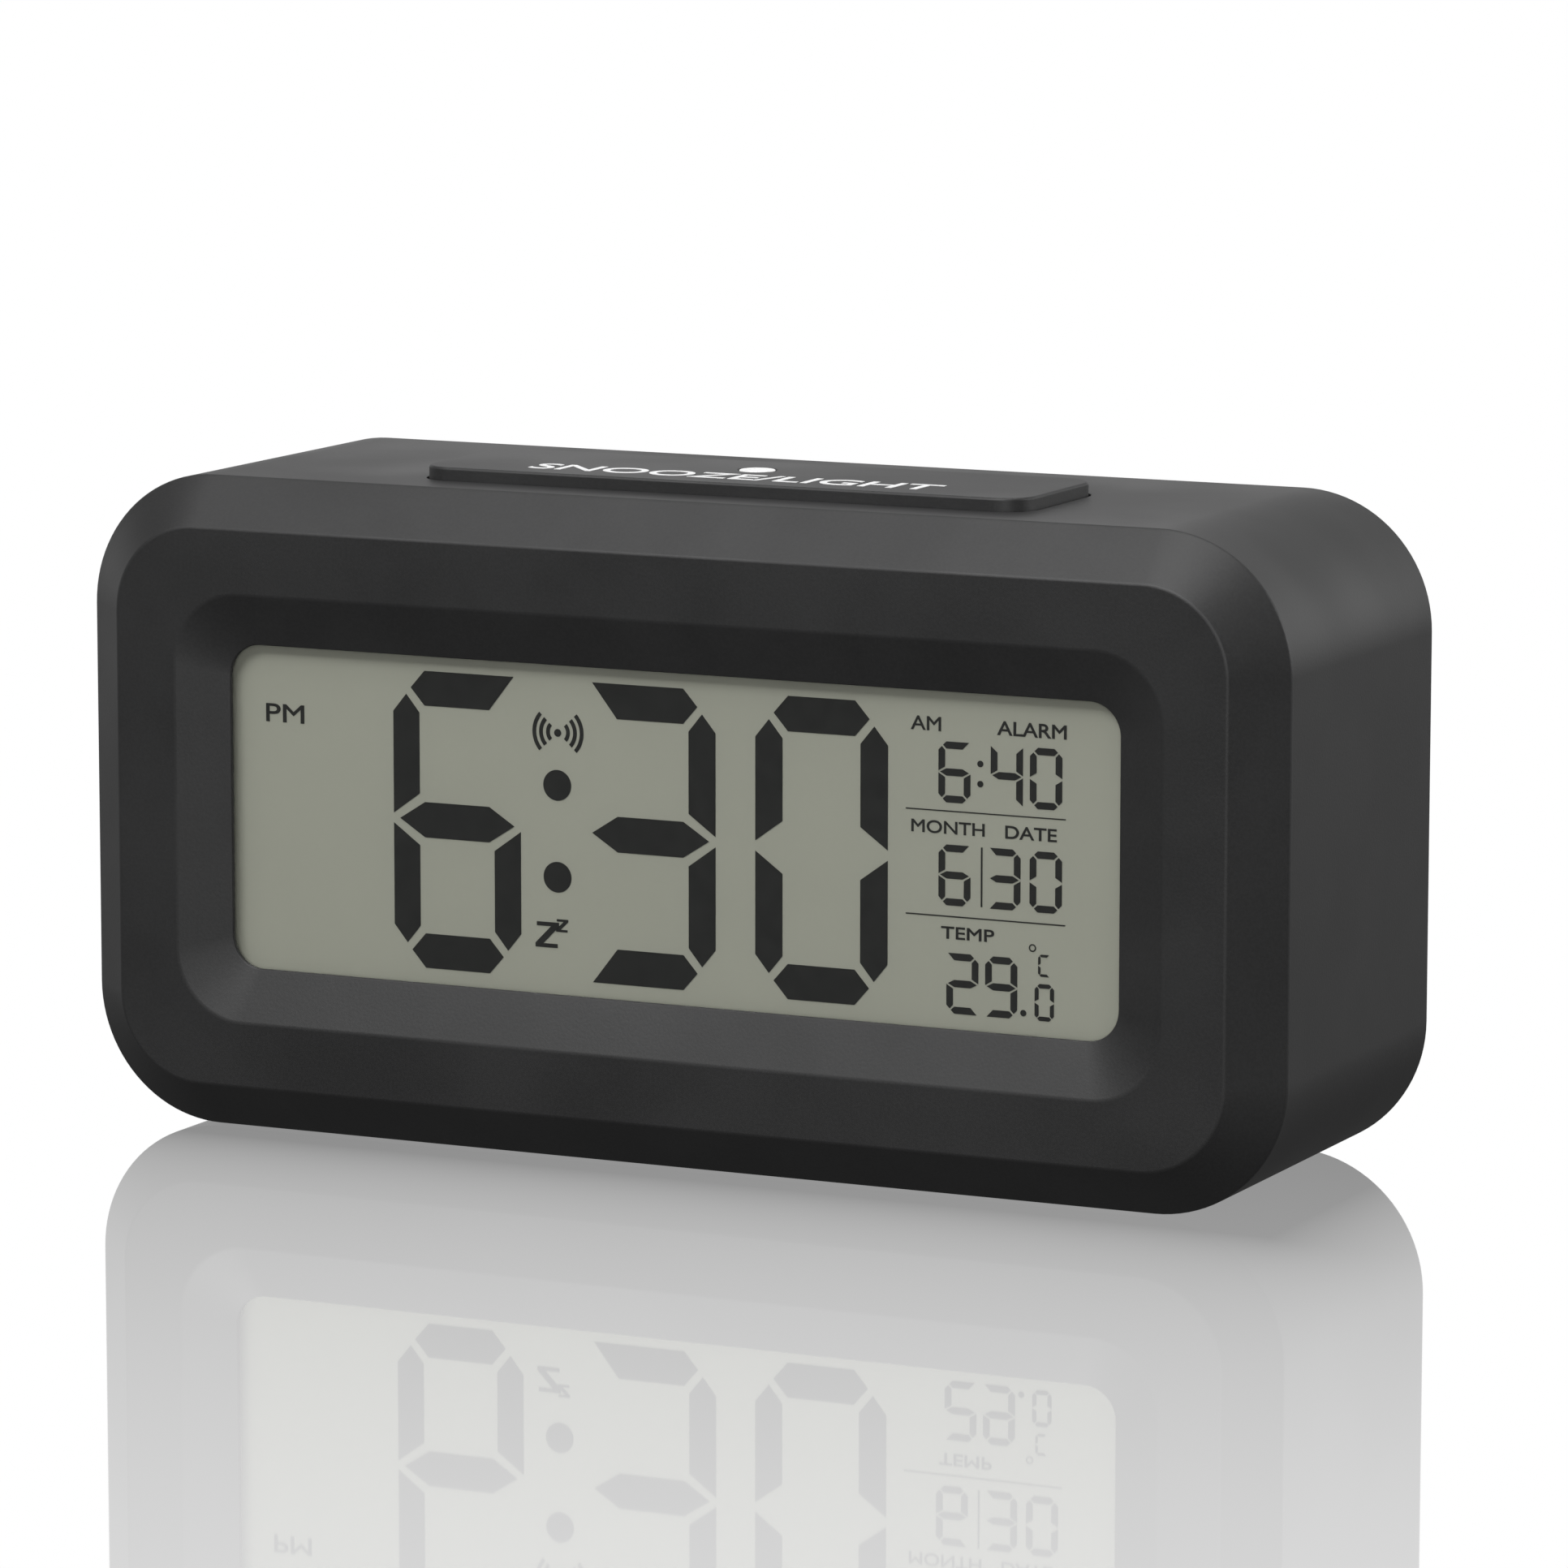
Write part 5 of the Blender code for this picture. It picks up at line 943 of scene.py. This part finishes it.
outer_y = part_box("rear_cover")[1].y
inner_y = outer_y - COVER_THICKNESS
past = outer_y + COVER_THICKNESS
cover_half = (case_half.x - CASE_WALL - COVER_GAP, case_half.z - CASE_WALL - COVER_GAP)
cover_corner = CASE_CORNER - CASE_WALL - COVER_GAP
cover_centre = (0, (outer_y + inner_y) / 2, case_middle.z)
cover = slab("back_cover", cover_centre, cover_half, cover_corner, COVER_THICKNESS, turn=BACK_TURN)

door_middle_z = (DOOR_BOTTOM + DOOR_TOP) / 2
door_half_z = (DOOR_TOP - DOOR_BOTTOM) / 2
door_inner = outer_y - DOOR_THICKNESS
bay_half_x, bay_half_z = DOOR_HALF_X - BAY_LEDGE, door_half_z - BAY_LEDGE
bay_low, bay_top = door_middle_z - bay_half_z, door_middle_z + bay_half_z
bay_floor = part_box("cell_1")[0].y - COVER_GAP
tray = block(
    "tray",
    (-bay_half_x - BAY_WALL, bay_floor - BAY_WALL, bay_low - BAY_WALL),
    (bay_half_x + BAY_WALL, outer_y - COVER_THICKNESS / 2, bay_top + BAY_WALL),
)
ledge = block(
    "ledge",
    (-DOOR_HALF_X - BAY_WALL, door_inner - DOOR_LEDGE, DOOR_BOTTOM - BAY_WALL),
    (DOOR_HALF_X + BAY_WALL, outer_y - COVER_THICKNESS / 2, DOOR_TOP + BAY_WALL),
)
combine(cover, "UNION", [tray, ledge])

cuts = [
    block("bay", (-bay_half_x, bay_floor, bay_low), (bay_half_x, past, bay_top)),
    slab(
        "door_seat",
        (0, (past + door_inner - COVER_GAP) / 2, door_middle_z),
        (DOOR_HALF_X + SLIDE_GAP, door_half_z + SLIDE_GAP),
        DOOR_CORNER + SLIDE_GAP,
        past - door_inner + COVER_GAP,
        8,
        BACK_TURN,
    ),
    block(
        "latch_notch",
        (-LATCH_HALF - LATCH_SLOT, door_inner - NOTCH_DEEP, bay_top - BAY_WALL),
        (LATCH_HALF + LATCH_SLOT, past, DOOR_TOP + NOTCH_UP),
    ),
]
toe_y = inner_y - TAB_DEEP - TOE_ROOM
for x in (-TAB_X, TAB_X):
    low_x, high_x = x - TAB_HALF - SLIDE_GAP, x + TAB_HALF + SLIDE_GAP
    low = (low_x, toe_y, DOOR_BOTTOM - TAB_REACH - SLIDE_GAP)
    cuts.append(block("tab_toe", low, (high_x, inner_y + COVER_GAP, DOOR_BOTTOM)))
    low = (low_x, toe_y, DOOR_BOTTOM - SLIDE_GAP)
    cuts.append(block("tab_root", low, (high_x, past, bay_low + BAY_WALL)))
key_z = middle_of("key_up")[2]
for key in KEYS:
    foot = (middle_of(f"key_{key}")[0], inner_y - MM, key_z)
    cuts.append(rod("key_hole", foot, KEY_HOLE, THROUGH, turn=BACK_TURN))
knob_low, knob_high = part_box("slide_switch_knob")
cuts.append(
    block(
        "knob_slot",
        (knob_low.x - SLIDE_GAP, inner_y - MM, knob_low.z - SLIDE_GAP),
        (knob_high.x + SLIDE_TRAVEL + SLIDE_GAP, past, knob_high.z + SLIDE_GAP),
    )
)
buzzer_x = middle_of("buzzer")[0]
turns = [i * math.pi / 3 for i in range(6)]
for dx, dz in [(0, 0)] + [(GRILLE_RING * math.cos(a), GRILLE_RING * math.sin(a)) for a in turns]:
    foot = (buzzer_x + dx, inner_y - MM, key_z + dz)
    cuts.append(rod("grille_hole", foot, GRILLE_HOLE, THROUGH, 24, BACK_TURN))
vent_x, _, vent_z = middle_of("thermistor")
for i in range(VENTS):
    centre = (vent_x, outer_y, vent_z + (i - (VENTS - 1) / 2) * VENT_PITCH)
    cuts.append(slab("vent", centre, VENT_HALF, VENT_CORNER, 4 * COVER_THICKNESS, 6, BACK_TURN))
SCREWS = [f"{level}_{side}" for level in ("lower", "upper") for side in ("left", "right")]
for screw in SCREWS:
    x, _, z = middle_of(f"cover_screw_{screw}")
    cuts.append(rod("head_sink", (x, outer_y - SINK_DEPTH, z), SINK_RADIUS, THROUGH, turn=BACK_TURN))
    cuts.append(rod("screw_hole", (x, inner_y - MM, z), SCREW_HOLE, THROUGH, 24, BACK_TURN))
combine(cover, "DIFFERENCE", cuts)
ribs = []
for index in (1, 2):
    z = (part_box(f"cell_{index}")[1].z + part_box(f"cell_{index + 1}")[0].z) / 2
    low = (-bay_half_x + RIB_INSET, bay_floor - BAY_WALL / 2, z - RIB_HALF)
    ribs.append(block("cell_rib", low, (bay_half_x - RIB_INSET, bay_floor + RIB_HEIGHT, z + RIB_HALF)))
combine(cover, "UNION", ribs)
soften(cover, COVER_EDGE, 2, 40)
cover_plastic = painted("textured_black_cover", (0.020, 0.020, 0.0205), 0.56, 0.45 * MM, 0.06 * MM)
wear(cover, cover_plastic, "case", "black_plastic", "rear_cover")


# ---------------- battery door
# A flat plate that snaps into its seat: two tabs hook under the cover at its lower edge, and a
# springy tongue with three finger ridges latches at its upper edge.
LATCH_LENGTH, OVERLAP, DOOR_EDGE = 5.5 * MM, 0.5 * MM, 0.15 * MM
RIDGES, RIDGE_PITCH, RIDGE_HALF, RIDGE_HEIGHT = 3, 1.3 * MM, 0.3 * MM, 0.5 * MM
RIDGE_REACH = LATCH_HALF / 1.5

door_centre = (0, (outer_y + door_inner) / 2, door_middle_z)
door = slab("bay_door", door_centre, (DOOR_HALF_X, door_half_z), DOOR_CORNER, DOOR_THICKNESS, 8, BACK_TURN)
slots = []
for sign in (-1, 1):
    near, far = sorted((sign * LATCH_HALF, sign * (LATCH_HALF + LATCH_SLOT)))
    low = (near, door_inner - MM, DOOR_TOP - LATCH_LENGTH)
    slots.append(block("latch_slot", low, (far, past, DOOR_TOP + MM)))
combine(door, "DIFFERENCE", slots)
extras = []
for i in range(RIDGES):
    z = DOOR_TOP - RIDGE_PITCH * (i + 1)
    low = (-RIDGE_REACH, door_inner + OVERLAP, z - RIDGE_HALF)
    extras.append(block("finger_ridge", low, (RIDGE_REACH, outer_y + RIDGE_HEIGHT, z + RIDGE_HALF)))
for x in (-TAB_X, TAB_X):
    low = (x - TAB_HALF, inner_y - TAB_DEEP, DOOR_BOTTOM - TAB_REACH)
    high = (x + TAB_HALF, inner_y - SLIDE_GAP, DOOR_BOTTOM + TAB_REACH)
    extras.append(block("door_tab", low, high))
    low = (x - TAB_HALF, inner_y - TAB_DEEP, DOOR_BOTTOM)
    high = (x + TAB_HALF, door_inner + OVERLAP, DOOR_BOTTOM + TAB_REACH)
    extras.append(block("tab_root", low, high))
combine(door, "UNION", extras)
soften(door, DOOR_EDGE, 2, 40)
wear(door, cover_plastic, "battery_door", "black_plastic", "battery_door")


# ---------------- cover screws
# Four black-zinc pan-head screws with a cross recess hold the cover. Each is cold headed, and
# its thread cuts into a post inside the case.
HEAD_HEIGHT, HEAD_ROUND = 1.5 * MM, 0.55 * MM
SHANK_IN, SHANK_POINT = 1.15 * MM, 0.3
THREAD_PITCH, THREAD_DEPTH = 0.8 * MM, 0.82
ARM_REACH, ARM_HALF, ARM_DEPTH, ARM_TAPER = 1.7 * MM, 0.35 * MM, 1.1 * MM, 0.55
FACING = 0.9

black_zinc = metal("black_zinc_steel", (0.16, 0.16, 0.165), 0.34)
for screw in SCREWS:
    low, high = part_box(f"cover_screw_{screw}")
    x, _, z = middle_of(f"cover_screw_{screw}")
    head_radius, head_seat = (high.x - low.x) / 2, high.y - HEAD_HEIGHT
    middle = (x, head_seat, z)
    piece = rod(f"pan_screw_{screw}", middle, head_radius, high.y - head_seat, 64, BACK_TURN)
    pick(piece, "FACE", lambda face: face.normal.y > SHARP)
    bpy.ops.mesh.bevel(offset=HEAD_ROUND, segments=6)
    done()
    pick(piece, "FACE", lambda face: face.normal.y < -FACING)
    inset(head_radius - SHANK_IN)
    turns = round((head_seat - low.y) / THREAD_PITCH) - 1
    step = -(head_seat - low.y) / (2 * turns + 1)
    for turn in range(2 * turns + 1):
        extrude(0, step, 0)
        size = THREAD_DEPTH if turn % 2 == 0 else 1 / THREAD_DEPTH
        size = SHANK_POINT if turn == 2 * turns else size
        bpy.ops.transform.resize(value=(size, 1, size), center_override=middle)
    done()
    arms = []
    for reach_x, reach_z in ((ARM_REACH, ARM_HALF), (ARM_HALF, ARM_REACH)):
        arm_low = (x - reach_x, high.y - ARM_DEPTH, z - reach_z)
        arm = block("recess", arm_low, (x + reach_x, high.y + MM, z + reach_z))
        pick(arm, "FACE", lambda face: face.normal.y < -FACING)
        bpy.ops.transform.resize(value=(ARM_TAPER, 1, ARM_TAPER), center_override=middle)
        done()
        arms.append(arm)
    combine(piece, "DIFFERENCE", arms)
    wear(piece, black_zinc, "case", "bright_steel", f"cover_screw_{screw}", angle=40)


# ---------------- rear keys and their legends
# Four moulded black keys with a shallow finger dish. A flange keeps each one behind the cover,
# and its plunger sits on a push switch. The legends are pad-printed like the words on the bar.
KEY_EDGE, KEY_DISH = 0.35 * MM, 0.22 * MM
KEY_FLANGE_Y, KEY_FLANGE, KEY_STEP = 17.1 * MM, 1.0 * MM, 1.0 * MM
FLANGE_RADIUS, PLUNGER_RADIUS = 4.5 * MM, 1.4 * MM
LEGEND_GAP, LEGEND_HEIGHT, LEGEND_LETTER = 5.1 * MM, 1.5 * MM, 1.25 * MM
LEGEND_BOLD, LEGEND_TURN = 0.03 * MM, (math.pi / 2, 0, math.pi)

key_rubber = painted("black_key_plastic", (0.018, 0.018, 0.0185), 0.42, 0.3 * MM, 0.02 * MM)
for key in KEYS:
    low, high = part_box(f"key_{key}")
    x = middle_of(f"key_{key}")[0]
    foot = (x, KEY_FLANGE_Y, key_z)
    piece = rod(f"finger_key_{key}", foot, FLANGE_RADIUS, KEY_FLANGE, 96, BACK_TURN)
    pick(piece, "FACE", lambda face: face.normal.y > FACING)
    inset(KEY_STEP)
    extrude(0, high.y - KEY_FLANGE_Y - KEY_FLANGE, 0)
    inset(2 * KEY_EDGE)
    inset(2 * KEY_EDGE, -0.7 * KEY_DISH)
    inset(3 * KEY_EDGE, -0.3 * KEY_DISH)
    done()
    pick(piece, "FACE", lambda face: face.normal.y < -FACING)
    inset(FLANGE_RADIUS - PLUNGER_RADIUS)
    extrude(0, low.y - KEY_FLANGE_Y, 0)
    done()
    soften(piece, KEY_EDGE, 4, 50)
    wear(piece, key_rubber, f"{key}_key", "black_rubber", f"key_{key}")
    word = key.upper()
    half, legend_z = LEGEND_LETTER * len(word) / 2, key_z + LEGEND_GAP
    low, high = (-x - half, legend_z), (-x + half, legend_z + LEGEND_HEIGHT)
    place = (0, outer_y - PRINT / 2, 0)
    legend = words(f"legend_{key}", word, low, high, INK, place, LEGEND_TURN, LEGEND_BOLD)
    wear(legend, white_ink, "case", "milk_plastic")


# ---------------- slide switch knob
# The little knob of the night-light switch is moulded with three ridges for a fingernail. A wide
# shutter at its root keeps dust out of the slot.
SHUTTER_HALF_X, SHUTTER_HALF_Z = 3.6 * MM, 2.0 * MM
SHUTTER_DEEP, SHUTTER_GAP = 1.0 * MM, 0.4 * MM
GROOVE_X, GROOVE_HALF, GROOVE_DEPTH = 0.5 * MM, 0.18 * MM, 0.35 * MM
KNOB_EDGE = 0.08 * MM

knob = block("night_light_knob", knob_low, knob_high)
knob_x, _, knob_z = middle_of("slide_switch_knob")
low = (knob_x - SHUTTER_HALF_X, inner_y - SHUTTER_DEEP, knob_z - SHUTTER_HALF_Z)
high = (knob_x + SHUTTER_HALF_X, inner_y - SHUTTER_GAP, knob_z + SHUTTER_HALF_Z)
combine(knob, "UNION", [block("knob_shutter", low, high)])
grooves = []
for x in (knob_x - GROOVE_X, knob_x + GROOVE_X):
    low = (x - GROOVE_HALF, knob_high.y - GROOVE_DEPTH, knob_low.z - MM)
    grooves.append(block("groove", low, (x + GROOVE_HALF, past, knob_high.z + MM)))
combine(knob, "DIFFERENCE", grooves)
soften(knob, KNOB_EDGE, 2)
wear(knob, key_rubber, "night_light_switch", "black_plastic", "slide_switch_knob")


# ---------------- feet
# Four round rubber pads with a moulded ring are glued into shallow seats under the case.
PAD_EDGE, PAD_FLAT = 0.15 * MM, 0.9999
RING_INSET, RING_SLOPE, RING_DEPTH = 0.9 * MM, 0.12 * MM, 0.1 * MM

foot_rubber = painted("matt_black_rubber", (0.022, 0.022, 0.022), 0.72, 0.5 * MM, 0.05 * MM)
for side in ("front_left", "front_right", "rear_left", "rear_right"):
    low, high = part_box(f"foot_{side}")
    x, y, _ = middle_of(f"foot_{side}")
    pad = rod(f"rubber_pad_{side}", (x, y, low.z), (high.x - low.x) / 2, high.z - low.z, 96)
    pick(pad, "FACE", lambda face: face.normal.z < -FACING)
    bpy.ops.mesh.bevel(offset=PAD_EDGE, segments=3)
    done()
    pick(pad, "FACE", lambda face: face.normal.z < -PAD_FLAT)
    inset(RING_INSET)
    inset(RING_SLOPE, -RING_DEPTH)
    inset(RING_INSET)
    inset(RING_SLOPE, RING_DEPTH)
    done()
    wear(pad, foot_rubber, "case", "black_rubber", f"foot_{side}")


# ---------------- dry cells
# Three AAA cells, each a nickel-plated can with a pip at its positive end, in a printed film
# sleeve that is shrunk over both ends. The sleeve's wide band marks the positive end.
BAND_WIDTH, RULE_GAP = 11 * MM, 1.3 * MM
BAND_COLOUR, FILM_COLOUR = (0.62, 0.33, 0.09), (0.012, 0.014, 0.02)
PIP_LENGTH, PIP_RISE, PIP_TAPER, PIP_IN = 1.1 * MM, 1.05 * MM, 0.96, 2.6 * MM
MOAT_WIDTH, MOAT_DEPTH, MOAT_FAR = 0.3 * MM, 0.2 * MM, 0.25 * MM
FOOT_IN, FOOT_STEP, CAN_EDGE = 3.4 * MM, 0.25 * MM, 0.12 * MM
SLEEVE_THICKNESS, SLEEVE_LAP, SLEEVE_SHORT = 0.15 * MM, 0.9 * MM, 0.1 * MM
SLEEVE_ROUND = 0.55 * MM


def sleeve_finish(name, positive_x):
    """Printed film: a dark body, a bright band at the positive end and a thin rule beside it."""
    finish = Finish(bpy.data.materials.new(name))
    x, _, _ = finish.where()
    along = x * (1 if positive_x > 0 else -1)
    start = abs(positive_x) - BAND_WIDTH
    wide = (along - start).between(0.0, 0.1 * MM)
    rule = (abs(along - start + RULE_GAP)).between(0.3 * MM, 0.2 * MM)
    print_share = wide.maths("MAXIMUM", rule)
    grain = finish.noise(0.25 * MM, 3.0)
    base = finish.blend(print_share, FILM_COLOUR, BAND_COLOUR)
    base = finish.blend(grain.between(0.3, 0.7) * 0.12, base, (0.01, 0.01, 0.01))
    rough = grain * 0.1 + 0.24 - print_share * 0.04
    bump = finish.bump(0.2, 0.01 * MM, grain)
    metallic = print_share * 0.6
    return finish.surface({"Base Color": base, "Roughness": rough, "Metallic": metallic, "Normal": bump})


for index in (1, 2, 3):
    low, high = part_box(f"cell_{index}")
    toward = 1 if index != 2 else -1
    radius = (high.z - low.z) / 2
    foot_x, pip_x = (low.x, high.x) if toward > 0 else (high.x, low.x)
    _, y, z = middle_of(f"cell_{index}")
    turn = (0, toward * math.pi / 2, 0)
    can_length = abs(pip_x - foot_x) - PIP_LENGTH
    can = rod(f"cell_can_{index}", (foot_x, y, z), radius - SLEEVE_THICKNESS, can_length, 64, turn)
    pick(can, "FACE", lambda face: face.normal.x * toward > FACING)
    inset(radius - PIP_IN)
    inset(MOAT_WIDTH, -MOAT_DEPTH)
    inset(MOAT_FAR, MOAT_DEPTH)
    extrude(toward * PIP_RISE, 0, 0)
    bpy.ops.transform.resize(value=(1, PIP_TAPER, PIP_TAPER), center_override=(0, y, z))
    done()
    pick(can, "FACE", lambda face: face.normal.x * toward < -FACING)
    inset(radius - FOOT_IN)
    inset(MOAT_WIDTH, -FOOT_STEP)
    done()
    soften(can, CAN_EDGE, 2, 40)
    wear(can, nickel, "case", "nickel_plate")
    start = foot_x + toward * SLEEVE_SHORT
    sleeve_length = can_length - 2 * SLEEVE_SHORT
    sleeve = rod(f"cell_sleeve_{index}", (start, y, z), radius, sleeve_length, 96, turn)
    for end in (-1, 1):
        pick(sleeve, "FACE", lambda face: face.normal.x * end > FACING)
        bpy.ops.mesh.bevel(offset=SLEEVE_ROUND, segments=5)
        done()
    bore_foot = (start - toward * MM, y, z)
    bore = rod("sleeve_bore", bore_foot, radius - SLEEVE_LAP, can_length + 2 * MM, 64, turn)
    combine(sleeve, "DIFFERENCE", [bore])
    film = sleeve_finish(f"printed_film_{index}", pip_x)
    wear(sleeve, film, "case", "cell_sleeve", f"cell_{index}")


# ---------------- battery contacts
# Nickel-plated spring steel: a plate for the pack's positive end, wound springs for the
# negative end, and links that carry the current from one cell to the next.
contact_nickel = metal("nickel_plated_spring", (0.70, 0.67, 0.60), 0.22, 0.15 * MM, (1, 1, 0.2))
give(
    contact_nickel,
    "contact_link_left",
    "contact_link_right",
    "contact_spring_negative",
    "contact_plate_positive",
)
